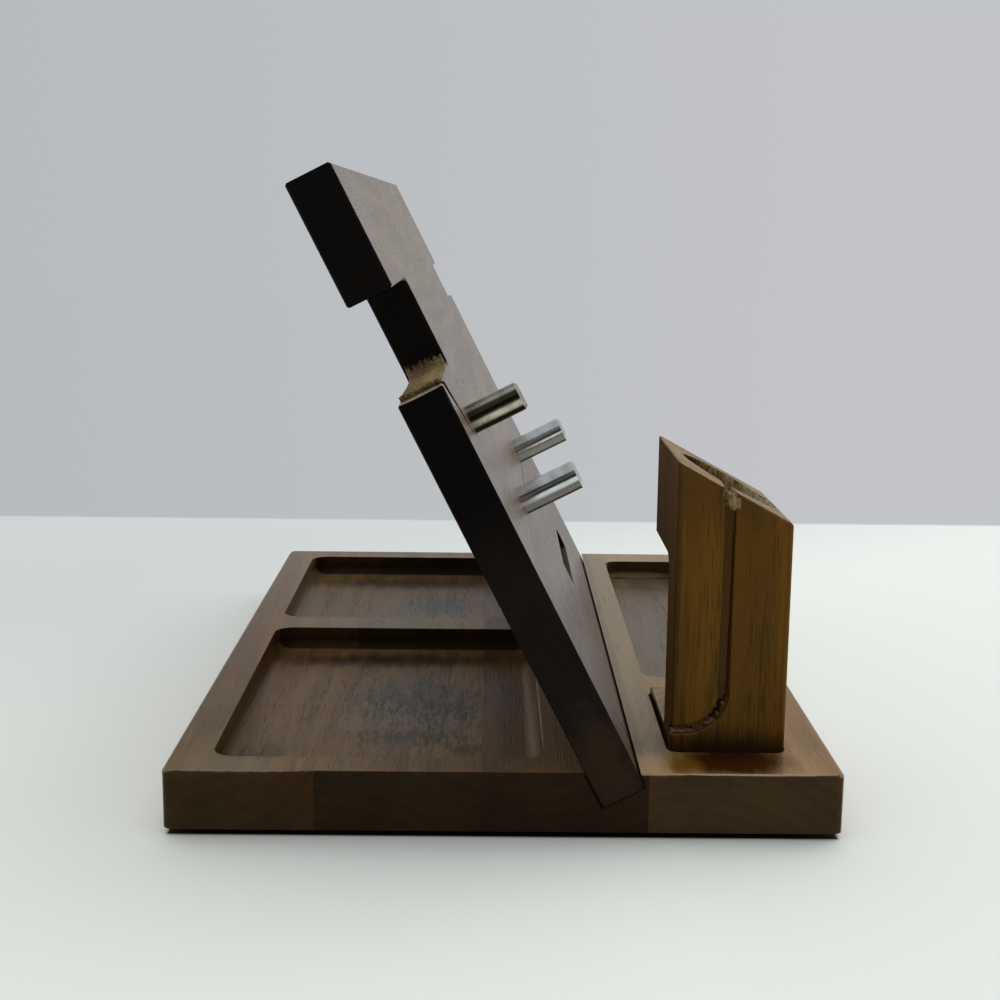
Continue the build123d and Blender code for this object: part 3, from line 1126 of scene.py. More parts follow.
@dataclass(frozen=True)
class PocketWall:
    """The torn wall of the charger pocket, in millimetres, open at the groove's mouth by an angle in radians."""

    half_mouth: float = 0.235
    rim: float = 0.15
    rim_fall: float = 0.55
    floor_gap: float = 0.05
    stand: float = 0.06
    rough: float = 0.45
    broad_share: float = 0.6
    behind: float = 0.12
    grid: tuple[int, int] = (300, 20)

    def skin(self) -> Skin:
        """Builds the wall.

        A point at an angle and a depth lies at the bore's radius, less a noise drawn out down the wall. The top
        edge rises and falls with a noise round the bore.

        Returns:
            The points and the faces.
        """
        rows, columns = self.grid
        mouth_up = LAYOUT.groove_y - LAYOUT.pocket_centre[1]
        mouth = math.pi - math.asin(mouth_up / LAYOUT.pocket_radius)
        angle = np.linspace(mouth + self.half_mouth, mouth + 2.0 * math.pi - self.half_mouth, rows)[:, None]
        top = self.rim - self.rim_fall * soft_noise(rows, 1, (90, 1), 3)
        depth = top - np.linspace(0.0, 1.0, columns) * (LAYOUT.pocket_depth - self.floor_gap + top)
        broad, fine = torn_noise(rows, columns, (70, 2), 21), torn_noise(rows, columns, (26, 5), 27)
        streaks = self.broad_share * broad + (1.0 - self.broad_share) * fine
        shown = LAYOUT.pocket_radius - self.stand - self.rough * streaks
        reaches = (shown, LAYOUT.pocket_radius + self.behind)
        return SLOPE_FRAME.shell(*((reach * np.cos(angle), reach * np.sin(angle), depth) for reach in reaches))


@dataclass(frozen=True)
class MouthTrough:
    """The torn trough from the groove's mouth into the pocket, in millimetres."""

    overlap: float = 0.46
    under_slope: float = 0.1
    blend: float = 0.5
    reach: Pair = (-3.3, -11.6)
    jag: float = 0.9
    least: float = 0.1
    rough: float = 0.5
    sunk: float = -0.12
    grid: tuple[int, int] = (46, 26)

    def _section(self) -> tuple[np.ndarray, np.ndarray]:
        """Returns the mouth's cross-section, from the top of one wall over its floor to the top of the other.

        Returns:
            Its places across and up as pairs, and its inward directions as pairs.
        """
        half, low = LAYOUT.groove_width / 2.0, LAYOUT.mouth_floor_z
        falls = [side * (half + self.overlap) * LAYOUT.slope_rise for side in (-1.0, 1.0)]
        tops = [LAYOUT.groove_top - fall - self.under_slope for fall in falls]
        left, right = (half + (top - low) * LAYOUT.mouth_spread for top in tops)
        across, heights = (-left, -half, half, right), (tops[0], low, low, tops[1])
        knots = np.concatenate([[0.0], np.cumsum(np.hypot(np.diff(across), np.diff(heights)))])
        run = np.linspace(0.0, knots[-1], self.grid[0])
        turns = [knots[corner] + step for corner in (1, 2) for step in (-self.blend, self.blend)]
        line = [np.interp(run, knots, values) for values in (across, heights)]
        inward = [np.interp(run, turns, values) for values in ((1.0, 0.0, 0.0, -1.0), (0.0, 1.0, 1.0, 0.0))]
        return np.stack(line, axis=-1), np.stack(inward, axis=-1)

    def skin(self) -> Skin:
        """Builds the trough.

        The mouth's cross-section is carried inwards along X, and stands off its walls by a noise drawn out that
        way.

        Returns:
            The points and the faces.
        """
        rows, columns = self.grid
        line, inward = self._section()
        out = np.tile(np.linspace(*self.reach, columns), (rows, 1))
        out[:, :1] += self.jag * soft_noise(rows, 1, (16, 1), 31)
        stand = self.least + self.rough * torn_noise(rows, columns, (14, 4), 33)
        return GROOVE_FRAME.layer((line[:, :1], line[:, 1:]), inward, (stand, self.sunk), out)


@dataclass(frozen=True)
class MouthLip:
    """The lip of torn wood that the cutter left across the groove at its mouth, in millimetres."""

    overlap: float = 0.95
    aside: float = 0.35
    reach: Pair = (0.25, -4.6)
    jag: float = 0.9
    crest: float = 99.7
    crest_fall: float = 0.55
    crest_rough: float = 2.0
    thickness: float = 2.0
    under_rough: float = 2.6
    side_rise: float = 1.3
    under_fall: float = 0.35
    inward_fall: float = 0.35
    inward_start: float = 0.35
    grid: tuple[int, int] = (70, 30)

    def skin(self) -> Skin:
        """Builds the lip.

        Its top falls with the post's slope. Its underside lies up to five millimetres lower in the middle and less
        at both sides. Both are rough with noise, and its face stands a little out of the post's.

        Returns:
            The points and the faces.
        """
        rows, columns = self.grid
        half = LAYOUT.groove_width / 2.0 + self.overlap
        a = np.linspace(self.aside - half, self.aside + half, rows)[:, None]
        out = np.linspace(*self.reach, columns) + self.jag * (torn_noise(rows, 1, (14, 1), 41) - 0.5)
        crest = self.crest - self.crest_fall * a
        top = crest + self.crest_rough * (torn_noise(rows, columns, (13, 6), 43) - 0.5)
        narrow = self.side_rise * (np.abs(a) / half) ** 2.0 - self.under_fall * a
        ragged = self.under_rough * torn_noise(rows, columns, (12, 9), 47)
        under = crest - self.thickness + narrow - ragged + self.inward_fall * (out + self.inward_start)
        return GROOVE_FRAME.shell((a, top, out), (a, under, out))


@dataclass(frozen=True)
class LooseFibres:
    """The loose fibres round the groove's mouth and along the pocket's near rim, in millimetres.

    Each pair is the least and the most of a random measure: how far a root lies under the slope, how long a fibre
    is, what shares of its length it runs inwards, upwards and outwards, and its half width.
    """

    count: int = 90
    seed: int = 53
    beside: float = 0.5
    behind: float = 0.5
    depth: float = 10.5
    drop: Pair = (0.2, 2.6)
    length: Pair = (0.8, 1.9)
    inwards: Pair = (0.3, 1.0)
    upwards: Pair = (-0.3, 0.7)
    outwards: Pair = (-0.6, 0.25)
    sway: float = 0.16
    half_width: Pair = (0.10, 0.24)

    def skin(self) -> Skin:
        """Builds the fibres.

        Roots are spread at random over both edges of the mouth, and each tip lies a random way up and in from its
        root.

        Returns:
            The points and the faces.
        """
        rng = np.random.default_rng(self.seed)
        side = rng.choice([-1.0, 1.0], self.count)
        deep = rng.uniform(0.0, 1.0, self.count)
        a = side * (LAYOUT.groove_width / 2.0 + self.beside)
        b = LAYOUT.groove_top - a * LAYOUT.slope_rise - rng.uniform(*self.drop, self.count)
        roots = np.stack([a, b, -self.behind - self.depth * deep], axis=-1)
        length = rng.uniform(*self.length, self.count)
        ways = [rng.uniform(*way, self.count) for way in (self.inwards, self.upwards, self.outwards)]
        tips = roots + np.stack([-side * length * ways[0], length * ways[1], length * ways[2]], axis=-1)
        sway = rng.normal(0.0, self.sway, (self.count, 3))
        points, faces = strands(roots, tips, rng.uniform(*self.half_width, self.count), sway)
        return GROOVE_FRAME.place(points), faces


@dataclass(frozen=True)
class GrooveFill:
    """The torn wood that narrows the groove's bend and bridges it, in millimetres."""

    exit: float = -15.4
    top: float = 88.0
    overlap: float = 0.1
    floor: float = -3.62
    hidden: float = -3.8
    crest: float = -0.25
    crest_rough: float = 0.9
    wall_slope: float = 0.35
    least_reach: float = 0.45
    top_fade: float = 50.0
    least_fade: float = 0.02
    rough_run: float = 24.0
    rough_fade: float = 6.0
    least_rough: float = 0.06
    bridge: Pair = (5.6, 11.0)
    bridge_slope: float = 0.7
    bridge_skew: float = 1.6
    grid: tuple[int, int] = (330, 30)

    def skin(self) -> Skin:
        """Builds the fill.

        At each place along the groove and across it, the fill's top lies just under the post's face near both
        walls and falls to under the floor between them. How far it reaches in from each wall is a noise along the
        groove, strong round the bend, and a little that shrinks up the straight part. Over the bridge's span it
        reaches all the way across.

        Returns:
            The points and the faces.
        """
        rows, columns = self.grid
        centre_a, centre_b = LAYOUT.bend_centre
        radius = LAYOUT.bend_radius
        level = centre_a - self.exit
        run = np.linspace(0.0, level + radius * QUARTER + self.top - centre_b, rows)
        line, lean = cornered(run, (self.exit, centre_b - radius), level, radius)
        run = run[:, None]
        half = LAYOUT.groove_width / 2.0 + self.overlap
        across = np.linspace(-half, half, columns)[None, :]
        fade = np.clip((run[-1] - run) / self.top_fade, 0.0, 1.0)
        rough = np.clip((self.rough_run - run) / self.rough_fade, self.least_rough, 1.0)
        left, right = (self.least_reach * fade + rough * soft_noise(rows, 1, (64, 1), seed) for seed in (61, 62))
        gap = np.minimum(across + half - left, half - across - right)
        inside = np.clip(gap / self.wall_slope, 0.0, 1.0)
        skew = self.bridge_skew * (soft_noise(1, columns, (1, 5), 67) - 0.5)
        ends = (run - self.bridge[0] + skew, self.bridge[1] - run - skew)
        opened, shut = (np.clip(past / self.bridge_slope, 0.0, 1.0) for past in ends)
        closed = opened * shut
        crest = self.crest - self.crest_rough * torn_noise(rows, columns, (60, 5), 63)
        depth = crest * closed + (crest * (1.0 - inside) + self.floor * inside) * (1.0 - closed)
        depth = np.where(fade > self.least_fade, depth, self.floor)
        a, b = line[:, :1] - across * lean[:, :1], line[:, 1:] - across * lean[:, 1:]
        return GROOVE_FRAME.shell((a, b, depth), (a, b, self.hidden))


def dress(node: str, material: Material) -> None:
    """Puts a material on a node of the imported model.

    Args:
        node: The node's name.
        material: Its new material.
    """
    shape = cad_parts[node]
    shape.data.materials.clear()
    shape.data.materials.append(material)
    LOG.info("%s dressed in %s", node, material.name)


@dataclass
class BaseBoard:
    """The routed base, glued up from four staves, on its feet."""

    tray_floor: float = 11.0
    grey_stain: Colour = (0.052, 0.047, 0.036)
    black_stain: Colour = (0.022, 0.018, 0.011)
    pale_fleck: Colour = (0.190, 0.165, 0.115)
    honey_stain: Colour = (0.160, 0.078, 0.004)
    red_stain: Colour = (0.048, 0.011, 0.0005)
    # Darkens stains, and paints shade on tray floors along their walls and in a band before the pen tray's far
    # wall.
    stain_and_shade: Colour = (0.045, 0.023, 0.006)
    # Worn stain along edges, also used to paint highlights along edges.
    worn_edge_and_highlight: Colour = (0.420, 0.340, 0.240)
    # A paler tone, also used to paint light on the pen tray's far wall at its foot.
    pale_and_lit: Colour = (0.200, 0.155, 0.085)
    warm_edge: Colour = (0.400, 0.250, 0.110)
    divider_tone: Colour = (0.230, 0.160, 0.085)
    wall_shade: Colour = (0.017, 0.008, 0.002)
    shadow: Colour = (0.004, 0.003, 0.002)
    feet: tuple[str, ...] = ("foot_front_left", "foot_front_right", "foot_rear_left", "foot_rear_right")
    staves: list[Stave] = field(default_factory=list)

    def __post_init__(self) -> None:
        """Lists the staves from the front to the back, with their marks."""
        top, tray, end = LAYOUT.base_top, self.tray_floor, LAYOUT.board_end
        warm_near = Mark((-148.0, -45.0, top), (21.0, 11.0, 0.6), self.warm_edge, 0.95, broken=0.5, soft=0.7)
        front_marks = (
            Mark((0.0, -44.0, top), (900.0, 8.0, 0.6), self.pale_and_lit, 0.75, broken=0.6, soft=0.5),
            warm_near,
            Mark((-138.0, -69.0, top), (16.5, 21.0, 0.7), self.red_stain, 1.0, broken=0.6, soft=0.6),
            Mark((-142.0, -53.0, top), (14.0, 7.0, 0.7), self.honey_stain, 0.97, broken=1.0, soft=0.8),
            # Worn stain and a painted highlight along the near top arris.
            Mark((-149.3, -72.0, top), (0.5, 30.0, 0.5), self.worn_edge_and_highlight, 0.85, broken=0.5),
            Mark((-40.0, -83.0, 18.0), (22.0, 4.0, 9.0), self.honey_stain, 0.3, soft=0.8),
            Mark((38.0, -68.0, tray), (170.0, 44.0, 4.0), self.grey_stain, 0.72, broken=0.8, soft=0.6),
            # Painted light on the pen tray's far wall at its foot, and a painted shadow in a band on the floor
            # before that wall.
            Mark((131.0, -66.0, 13.6), (6.0, 21.0, 1.7), self.pale_and_lit, 0.8, broken=0.5, soft=0.5),
            Mark((117.0, -66.0, 12.0), (6.5, 17.0, 1.5), self.stain_and_shade, 0.75, broken=0.7, soft=0.7),
        )
        # Painted shade on the trays' floors before their far walls, and over the upper half of the fillets at the
        # walls' feet.
        tray_shade = Mark((-5.0, 40.0, 12.0), (13.0, 70.0, 3.0), self.wall_shade, 0.9, broken=1.0, soft=0.8)
        far_shade = Mark((121.0, 40.0, 12.0), (15.0, 70.0, 3.0), self.wall_shade, 0.85, broken=1.0, soft=0.8)
        near_foot = Mark((6.1, 40.0, 15.7), (6.0, 75.0, 1.9), self.wall_shade, 0.85, broken=0.4, soft=0.6)
        far_foot = Mark((134.1, 40.0, 15.7), (6.0, 75.0, 1.9), self.wall_shade, 0.85, broken=0.4, soft=0.6)
        near_shade = Mark((-144.0, 12.0, top), (12.0, 30.0, 1.5), self.stain_and_shade, 0.4, broken=1.5, soft=0.9)
        divider = Mark((17.7, 40.0, top), (12.5, 56.0, 0.8), self.divider_tone, 0.4, broken=0.6, soft=0.5)
        housing_marks = (
            tray_shade,
            near_foot,
            near_shade,
            Mark((0.0, -43.0, top), (900.0, 5.0, 0.6), self.pale_and_lit, 0.9, broken=0.4, soft=0.4),
            warm_near,
            # Painted shade on the near tray's floor along its front wall, under the leaning board.
            Mark((-70.0, -2.0, tray), (70.0, 8.0, 2.5), self.stain_and_shade, 0.55, broken=1.0, soft=0.8),
            Mark((-52.0, 2.0, tray), (38.0, 9.0, 3.0), self.grey_stain, 0.5, broken=2.0, soft=0.9),
            # A painted highlight along the top edge of the near tray's front wall.
            Mark((-92.0, -12.3, 19.8), (44.0, 0.36, 0.6), self.worn_edge_and_highlight, 0.6, broken=0.8),
        )
        tray_marks = (
            tray_shade,
            far_shade,
            near_foot,
            far_foot,
            near_shade,
            divider,
            Mark((-56.0, 27.0, tray), (38.0, 29.0, 3.0), self.grey_stain, 0.8, broken=2.0, soft=0.8),
            Mark((-62.0, 25.0, tray), (29.0, 23.0, 3.0), self.black_stain, 0.7, broken=4.0, soft=0.8, fine=2.2),
            Mark((-78.0, 36.0, tray), (22.0, 18.0, 3.0), self.pale_fleck, 0.4, broken=9.0, soft=0.7, fine=2.6),
            Mark((-93.0, 31.0, tray), (7.0, 22.0, 2.0), self.black_stain, 0.7, broken=6.0, soft=0.7, fine=2.6),
            Mark((-105.0, 10.0, tray), (7.0, 9.0, 2.0), self.stain_and_shade, 0.7, broken=4.0, soft=0.6, fine=2.0),
            Mark((80.0, 26.0, tray), (22.0, 22.0, 3.0), self.grey_stain, 0.6, broken=2.0, soft=0.8),
            Mark((82.0, 24.0, tray), (18.0, 16.0, 3.0), self.black_stain, 0.5, broken=4.0, soft=0.8, fine=2.2),
        )
        rear_marks = (
            tray_shade,
            far_shade,
            near_foot,
            far_foot,
            divider,
            # Painted shade along the foot of the far tray's rear wall.
            Mark((80.0, 68.0, tray), (46.0, 24.0, 3.0), self.stain_and_shade, 0.35, broken=1.0, soft=0.9),
            Mark((-144.0, 76.0, top), (9.0, 22.0, 1.2), self.pale_and_lit, 0.45, broken=1.0, soft=0.9),
            # Worn stain and a painted highlight along the near top arris.
            Mark((-149.3, 78.0, top), (0.5, 26.0, 0.5), self.worn_edge_and_highlight, 0.4, broken=1.5),
            # Painted shade along the foot of the near tray's rear wall.
            Mark((-110.0, 74.0, tray), (22.0, 12.0, 2.5), self.stain_and_shade, 0.5, broken=2.0, soft=0.9),
        )
        foot_gap = (
            Split((end, -22.6, 21.5), (end, -28.9, 9.6), 0.35, taper=0.0, colour=self.shadow),
            Split((end, -28.9, 9.6), (end, -41.3, 16.0), 0.45, taper=0.0, colour=self.shadow),
        )
        self.staves = [
            Stave(
                "base_front_stave", Fibres.BASE, (-60.0, -30.0), (0.052, 0.0315, 0.0125),
                tint=(2.75, 2.6, 2.1), lacquer=0.75, rubbed=0.3, streaks=0.22, drift=0.3, marks=front_marks,
            ),
            Stave(
                "base_housing_stave", Fibres.BASE, (-8.0, 62.0), (0.022, 0.0125, 0.0048),
                tint=(0.92, 0.80, 0.38), streaks=0.35, marks=housing_marks, splits=foot_gap,
            ),
            Stave(
                "base_tray_stave", Fibres.BASE, (48.0, -40.0), (0.024, 0.0145, 0.0054),
                tint=(1.42, 1.36, 1.1), streaks=0.35, marks=tray_marks,
            ),
            Stave(
                "base_rear_stave", Fibres.BASE, (96.0, 55.0), (0.043, 0.0235, 0.0085),
                tint=(1.6, 1.5, 1.2), rubbed=0.2, streaks=0.35, marks=rear_marks,
            ),
        ]

    def finish(self, timber: Timber, rubber: RubberFinish) -> None:
        """Dresses the staves and the feet.

        Args:
            timber: The maker of the staves' materials.
            rubber: The feet's finish.
        """
        for stave in self.staves:
            dress(stave.node, timber.material(stave))
        black = rubber.material()
        for foot in self.feet:
            dress(foot, black)


@dataclass
class BackBoard:
    """The leaning back board, glued up from three staves, with its key pegs and its torn left notch."""

    body: str = "back_board"
    slot: str = "board_wood"
    # Painted highlights along the board's near front edge and the notch floor's near edge.
    edge_highlight: Colour = (0.420, 0.370, 0.290)
    foot_light: Colour = (0.034, 0.021, 0.010)
    joint_light: Colour = (0.0085, 0.0052, 0.0034)
    foot_shadow: Colour = (0.030, 0.017, 0.008)
    glue: Colour = (0.05, 0.02, 0.012)
    notch_shade: Colour = (0.008, 0.004, 0.001)
    notch_yellow: Colour = (0.300, 0.260, 0.100)
    notch_pink: Colour = (0.190, 0.120, 0.070)
    pair_pegs: tuple[str, ...] = ("left_pair_peg", "right_pair_peg")
    single_peg: str = "single_key_peg"
    staves: list[Stave] = field(default_factory=list)

    def __post_init__(self) -> None:
        """Lists the staves from the foot up, with their marks and splits."""
        end = LAYOUT.board_end
        foot_split = Split((-119.9, 0.5, 0.0), (-122.5, 12.0, 0.0), 1.2, taper=0.9)
        foot_line = Split((-152.0, 0.5, 0.0), (152.0, 0.5, 0.0), 0.6, taper=0.0, colour=self.foot_shadow)
        notch_split = Split((-143.5, 129.0, 0.0), (-124.0, 108.0, 0.0), 3.4, taper=0.9)
        glue_line = Split((-60.0, 69.1, 0.0), (46.0, 69.1, 0.0), 0.5, taper=0.3, colour=self.glue)
        # Painted highlights along the board's near front edge and the notch floor's near edge.
        edge_highlights = (
            Mark((end, 121.0, 0.0), (0.45, 9.0, 0.42), self.edge_highlight, 0.9, broken=0.3),
            Mark((end, 127.4, -7.0), (0.42, 0.45, 8.0), self.edge_highlight, 0.85, broken=0.3),
            Mark((end, 90.0, 0.0), (0.35, 28.0, 0.3), self.edge_highlight, 0.3, broken=0.9),
        )
        foot_light = Mark((end, 6.0, -7.0), (3.0, 24.0, 12.0), self.foot_light, 0.9, soft=0.9)
        joint_light = Mark((end, 68.0, -7.0), (3.0, 26.0, 16.0), self.joint_light, 0.95, broken=0.5, soft=0.9)
        self.staves = [
            Stave(
                "back_lower_stave", Fibres.BOARD, (30.0, -70.0), (0.0100, 0.0062, 0.0042),
                tint=(0.85, 0.80, 0.72), lacquer=0.92, open_grain=3.0, marks=(foot_light,),
                splits=(foot_split, foot_line),
            ),
            Stave(
                "back_middle_stave", Fibres.BOARD, (96.0, 60.0), (0.0012, 0.0006, 0.0003),
                tint=(1.25, 1.22, 1.0), lacquer=1.4, open_grain=3.0, marks=(joint_light, *edge_highlights),
                splits=(notch_split, glue_line),
            ),
            Stave(
                "back_upper_stave", Fibres.BOARD, (170.0, -50.0), (0.0036, 0.0025, 0.0017),
                tint=(1.35, 1.36, 1.1), lacquer=1.6, open_grain=3.0,
            ),
        ]

    def build(
        self, timber: Timber, steel: SteelFinish, tarnished: SteelFinish, raw: RawWoodFinish, effects: Effects,
    ) -> None:
        """Dresses the staves and the pegs, and makes the torn wood.

        Args:
            timber: The maker of the staves' materials.
            steel: The pair pegs' finish.
            tarnished: The single peg's finish.
            raw: The torn wood's finish.
            effects: The shared shader groups.
        """
        for stave in self.staves:
            dress(stave.node, timber.material(stave))
        polished = steel.material(effects)
        for peg in self.pair_pegs:
            dress(peg, polished)
        dress(self.single_peg, tarnished.material(effects))
        marks = (
            Mark((-96.0, 129.0, -9.5), (40.0, 6.0, 5.5), self.notch_pink, 0.7, broken=1.5, soft=0.8),
            Mark((-100.0, 129.0, -3.5), (36.0, 5.0, 4.0), self.notch_yellow, 0.6, broken=4.0, soft=0.6, fine=3.0),
            Mark((-87.0, 134.0, -8.0), (5.0, 5.2, 12.0), self.notch_shade, 0.97, broken=1.6, soft=0.85, fine=2.5),
        )
        torn = raw.material("torn_board_wood", effects, Fibres.BOARD, marks)
        add_piece("notch_torn_floor", *NotchFloor().skin(), torn, self.body, self.slot)


@dataclass
class WatchPost:
    """The C-shaped watch post, with the wood torn round its groove and left rough in its pocket."""

    body: str = "watch_post"
    slot: str = "post_wood"
    pith: Pair = (14.0, -30.0)
    tint: Colour = (1.11, 0.84, 0.138)
    fill_tint: Colour = (0.75, 0.58, 0.24)
    groove_tone: Colour = (0.135, 0.070, 0.014)
    shadow_tone: Colour = (0.010, 0.006, 0.002)
    rear_band: Colour = (0.036, 0.019, 0.004)
    foot_band: Colour = (0.024, 0.009, 0.002)
    dark_top: Colour = (0.050, 0.029, 0.005)
    # Painted sheen on the post foot's top, and painted shade on its rear side.
    foot_top_sheen: Colour = (0.150, 0.112, 0.075)
    foot_side_shade: Colour = (0.010, 0.004, 0.001)
    # Painted shade on the rear part of the pocket's torn wall, and painted light on its front part.
    pocket_shade: Colour = (0.030, 0.018, 0.005)
    pocket_lit_side: Colour = (0.560, 0.500, 0.360)
    end_colour: Colour = (0.270, 0.205, 0.132)
    head_face: Colour = (0.100, 0.048, 0.004)
    frayed_rim: Colour = (0.400, 0.310, 0.190)

    def build(self, timber: Timber, raw: RawWoodFinish, effects: Effects) -> None:
        """Dresses the post and makes its torn wood.

        Args:
            timber: The maker of the post's material.
            raw: The torn wood's finish.
            effects: The shared shader groups.
        """
        floor = -LAYOUT.groove_depth
        groove_across = LAYOUT.groove_y - LAYOUT.post_front
        post = Stave(
            "watch_post", Fibres.POST, self.pith, self.end_colour, tint=self.tint, lacquer=0.1,
            open_grain=1.5, streaks=0.75, matt=0.22,
            marks=(
                Mark((45.0, 35.4, 0.0), (66.0, 3.2, 1.2), self.rear_band, 0.8, broken=0.5, soft=0.5),
                Mark((82.0, 20.0, 0.0), (18.0, 26.0, 1.5), self.dark_top, 0.5, broken=1.6, soft=0.9),
                Mark((66.0, 34.7, -30.0), (24.0, 1.3, 46.0), self.head_face, 0.7, broken=0.6, soft=0.6),
                Mark((-3.0, 17.0, 0.0), (12.0, 44.0, 1.6), self.foot_band, 0.95, broken=0.7, soft=0.7),
                # Painted sheen on the foot's top, and painted shade on its rear side.
                Mark((2.2, 16.5, -39.0), (0.8, 18.0, 26.0), self.foot_top_sheen, 0.8, broken=0.5),
                Mark((0.6, 35.0, -28.0), (2.2, 0.9, 31.0), self.foot_side_shade, broken=0.3),
                Mark((46.0, groove_across, floor), (44.0, 3.0, 1.2), self.groove_tone, broken=0.3),
                Mark((12.6, groove_across + 1.8, floor), (4.2, 3.6, 2.6), self.shadow_tone, broken=0.6),
                Mark((7.0, groove_across + 12.0, floor), (1.6, 4.5, 2.6), self.shadow_tone, broken=0.6),
            ),
            splits=(Split((81.4, 19.8, -0.3), (89.3, 34.2, -0.3), 0.55, taper=0.2, colour=self.frayed_rim),),
        )
        dress(post.node, timber.material(post))
        torn = raw.material("torn_post_wood", effects, Fibres.POST, (
            # Painted shade on the rear part of the pocket's wall, and painted light on its front part.
            Mark((86.0, 28.0, -34.0), (13.0, 12.5, 16.0), self.pocket_shade, 0.9, broken=1.2, soft=0.7),
            Mark((76.0, 2.0, -36.0), (12.0, 13.0, 18.0), self.pocket_lit_side, 0.7, broken=3.0, soft=0.8, fine=3.0),
        ))
        fill = Stave("groove_fill", Fibres.POST, self.pith, self.end_colour, tint=self.fill_tint, lacquer=0.1)
        pieces = {
            "pocket_torn_wall": PocketWall(), "mouth_torn_trough": MouthTrough(),
            "mouth_torn_lip": MouthLip(), "mouth_loose_fibres": LooseFibres(),
        }
        for name, piece in pieces.items():
            add_piece(name, *piece.skin(), torn, self.body, self.slot)
        add_piece("bend_torn_fill", *GrooveFill().skin(), timber.material(fill), self.body, self.slot)


@dataclass(frozen=True)
class Lamp:
    """A square soft lamp that points at the dock, with its side in metres and its power in watts."""

    name: str
    place: Triple
    size: float
    power: float
    target: Triple = (0.0, 0.0, 0.05)

    def hang(self) -> None:
        """Hangs the lamp, which isn't mirrored in gloss."""
        lamp = bpy.data.lights.new(self.name, "AREA")
        lamp.shape = "SQUARE"
        lamp.size = self.size
        lamp.energy = self.power
        hung = bpy.data.objects.new(self.name, lamp)
        hung.location = self.place
        hung.rotation_euler = (Vector(self.target) - Vector(self.place)).to_track_quat("-Z", "Y").to_euler()
        hung.visible_glossy = False
        bpy.context.scene.collection.objects.link(hung)


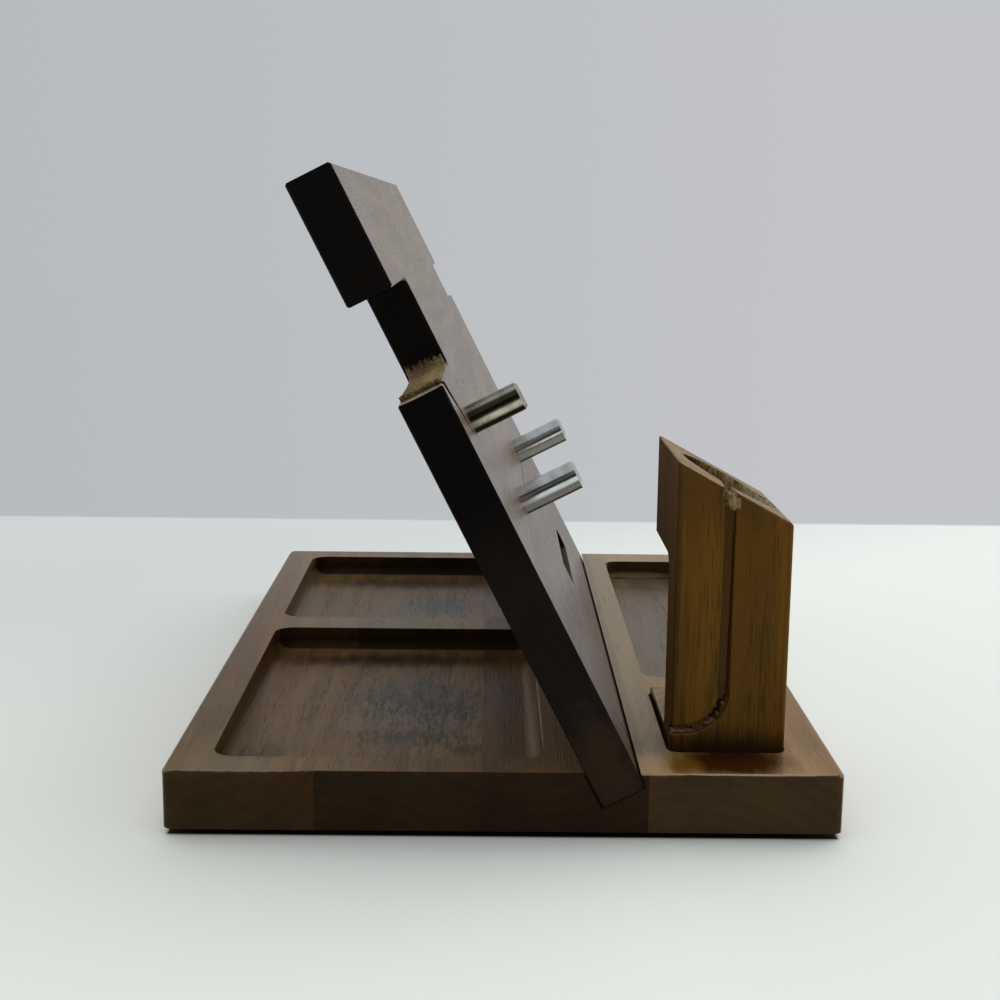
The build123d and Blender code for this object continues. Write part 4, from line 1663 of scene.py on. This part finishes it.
@dataclass(frozen=True)
class Studio:
    """A pale table that ends behind the dock, a pale wall past it, and soft lamps overhead.

    Pairs are where a step starts and ends, as metres on the table, as a slope from the camera on the wall, and as
    a share of a ray's direction in the world.
    """

    # The table's tones carry painted light near the dock and painted shade towards the far left.
    table_near_painted_light: Colour = (0.87, 0.91, 0.87)
    table_far_painted_shade: Colour = (0.66, 0.71, 0.705)
    table_step: Pair = (0.03, 0.36)
    table_slant: float = 0.8
    table_roughness: float = 0.7
    table_end: float = 0.33
    table_blur: float = 0.004
    table_reach: float = 3.0
    # A painted shadow on the floor right under the dock.
    painted_shadow_under_dock: Colour = (0.012, 0.010, 0.008)
    dock_half: Pair = (0.1492, 0.0992)
    dock_blur: float = 0.0008
    wall_left: Colour = (0.474, 0.497, 0.515)
    wall_right: Colour = (0.552, 0.558, 0.584)
    wall_step: Pair = (-0.42, 0.42)
    camera_back: float = 0.58
    least_slant: float = 0.05
    room_shade: float = 0.08
    room_step: Pair = (-0.95, -0.75)
    shaded_side: float = 0.34
    lit_side: float = 1.0
    lit_step: Pair = (-0.8, 0.6)
    lamps: tuple[Lamp, ...] = (
        Lamp("key", (0.50, -0.70, 1.25), 1.2, 4.5),
        Lamp("top", (0.00, 0.15, 1.60), 1.8, 5.0),
    )

    def build(self) -> None:
        """Builds the floor, the world and the lamps."""
        self._floor()
        self._world()
        for lamp in self.lamps:
            lamp.hang()

    def _wall(self, graph: Graph, along: Socket, across: Socket, back: float) -> Socket:
        """Returns the wall's colour, a little brighter towards one side.

        Args:
            graph: The graph that it is wired in.
            along: How far away the place is.
            across: How far to the left it is.
            back: How much farther away the eye is.

        Returns:
            The colour's socket.
        """
        slant = graph.math("DIVIDE", across, graph.plus(graph.math("ABSOLUTE", along), back))
        return graph.mix(graph.band(slant, *self.wall_step), rgba(self.wall_right), rgba(self.wall_left))

    def _floor(self) -> None:
        """Builds the floor: the table, painted lighter near the dock and darker towards the far left, with a
        painted shadow right under the dock, and past its end a plain tone like the wall.
        """
        mesh = bpy.data.meshes.new("studio_floor")
        reach = self.table_reach
        corners = [(-reach, -reach, 0.0), (reach, -reach, 0.0), (reach, reach, 0.0), (-reach, reach, 0.0)]
        mesh.from_pydata(corners, [], [(0, 1, 2, 3)])
        floor = bpy.data.objects.new("studio_floor", mesh)
        bpy.context.scene.collection.objects.link(floor)
        made, graph, shader = new_material("studio_table")
        along, across, _ = graph.parts(graph.place())
        away = graph.plus(along, graph.times(across, self.table_slant))
        # Painted light and shade: the table is painted lighter near the dock and darker towards the far left.
        tone = graph.mix(graph.band(away, *self.table_step), rgba(self.table_near_painted_light), rgba(self.table_far_painted_shade))
        # Painted shadow: the floor right under the dock is near black.
        sides = [
            graph.band(graph.math("ABSOLUTE", side), half, half - self.dock_blur)
            for side, half in zip((along, across), self.dock_half)
        ]
        tone = graph.mix(graph.times(*sides), tone, rgba(self.painted_shadow_under_dock))
        graph.fill(shader, base_color=tone, roughness=self.table_roughness)
        past = graph.band(along, self.table_end - self.table_blur, self.table_end + self.table_blur)
        wall = graph.node("ShaderNodeEmission", self._wall(graph, along, across, self.camera_back))
        surface = graph.join(past, shader.outputs[0], wall.outputs[0])
        graph.fill(made.node_tree.nodes["Material Output"], surface=surface)
        mesh.materials.append(made)

    def _world(self) -> None:
        """Builds the wall that the camera and gloss see, and a soft light from all round, darker on one side."""
        world = bpy.data.worlds.new("studio")
        bpy.context.scene.world = world
        world.use_nodes = True
        graph = Graph(world.node_tree)
        rays = graph.node("ShaderNodeLightPath").outputs
        along, across, _ = graph.parts(graph.node("ShaderNodeTexCoord").outputs["Generated"])
        lit = graph.times(graph.band(along, *self.lit_step), self.lit_side - self.shaded_side)
        light = world.node_tree.nodes["Background"]
        graph.fill(light, color=(1.0, 1.0, 1.0, 1.0), strength=graph.plus(lit, self.shaded_side))
        wall = self._wall(graph, along, across, self.least_slant)
        shade = tuple(value * self.room_shade for value in self.wall_left)
        sheen = graph.mix(graph.band(along, *self.room_step), rgba(shade), wall)
        seen = graph.node("ShaderNodeBackground", graph.mix(rays["Is Camera Ray"], sheen, wall))
        clear = graph.math("MAXIMUM", rays["Is Glossy Ray"], rays["Is Transmission Ray"])
        clear = graph.math("MAXIMUM", clear, rays["Is Camera Ray"])
        surface = graph.join(clear, light.outputs[0], seen.outputs[0])
        graph.fill(world.node_tree.nodes["World Output"], surface=surface)


@dataclass(frozen=True)
class PhotoCamera:
    """The camera at the photograph's place, fitted to the dock's measured edges."""

    place: Triple = (-0.57730, 0.00575, 0.17943)
    heading: float = -0.497
    tilt: float = -10.410
    roll: float = -0.660
    focal_share: float = 1.54193
    sensor: float = 36.0
    clip: Pair = (0.01, 20.0)

    def build(self) -> None:
        """Builds the camera: it looks along +X, turned by its heading, then tilted and rolled."""
        lens = bpy.data.cameras.new("photo_camera")
        lens.sensor_width = self.sensor
        lens.lens = self.focal_share * self.sensor
        lens.clip_start, lens.clip_end = self.clip
        camera = bpy.data.objects.new("photo_camera", lens)
        turns = ((self.heading - 90.0, "Z"), (90.0, "X"), (self.tilt, "X"), (-self.roll, "Z"))
        to_z, to_x, tilt, roll = (Matrix.Rotation(math.radians(degrees), 4, axis) for degrees, axis in turns)
        camera.matrix_world = Matrix.Translation(Vector(self.place)) @ (to_z @ to_x) @ (tilt @ roll)
        bpy.context.scene.collection.objects.link(camera)
        bpy.context.scene.camera = camera


def main() -> None:
    """Dresses the dock and builds the studio."""
    logging.basicConfig(level=logging.INFO, format="%(name)s: %(message)s")
    bpy.context.scene.view_settings.view_transform = "Standard"
    effects = Effects()
    timber = Timber(effects)
    raw = RawWoodFinish()
    BaseBoard().finish(timber, RubberFinish())
    BackBoard().build(timber, SteelFinish(), TARNISHED_STEEL, raw, effects)
    WatchPost().build(timber, raw, effects)
    Studio().build()
    PhotoCamera().build()


if __name__ == "__main__":
    main()
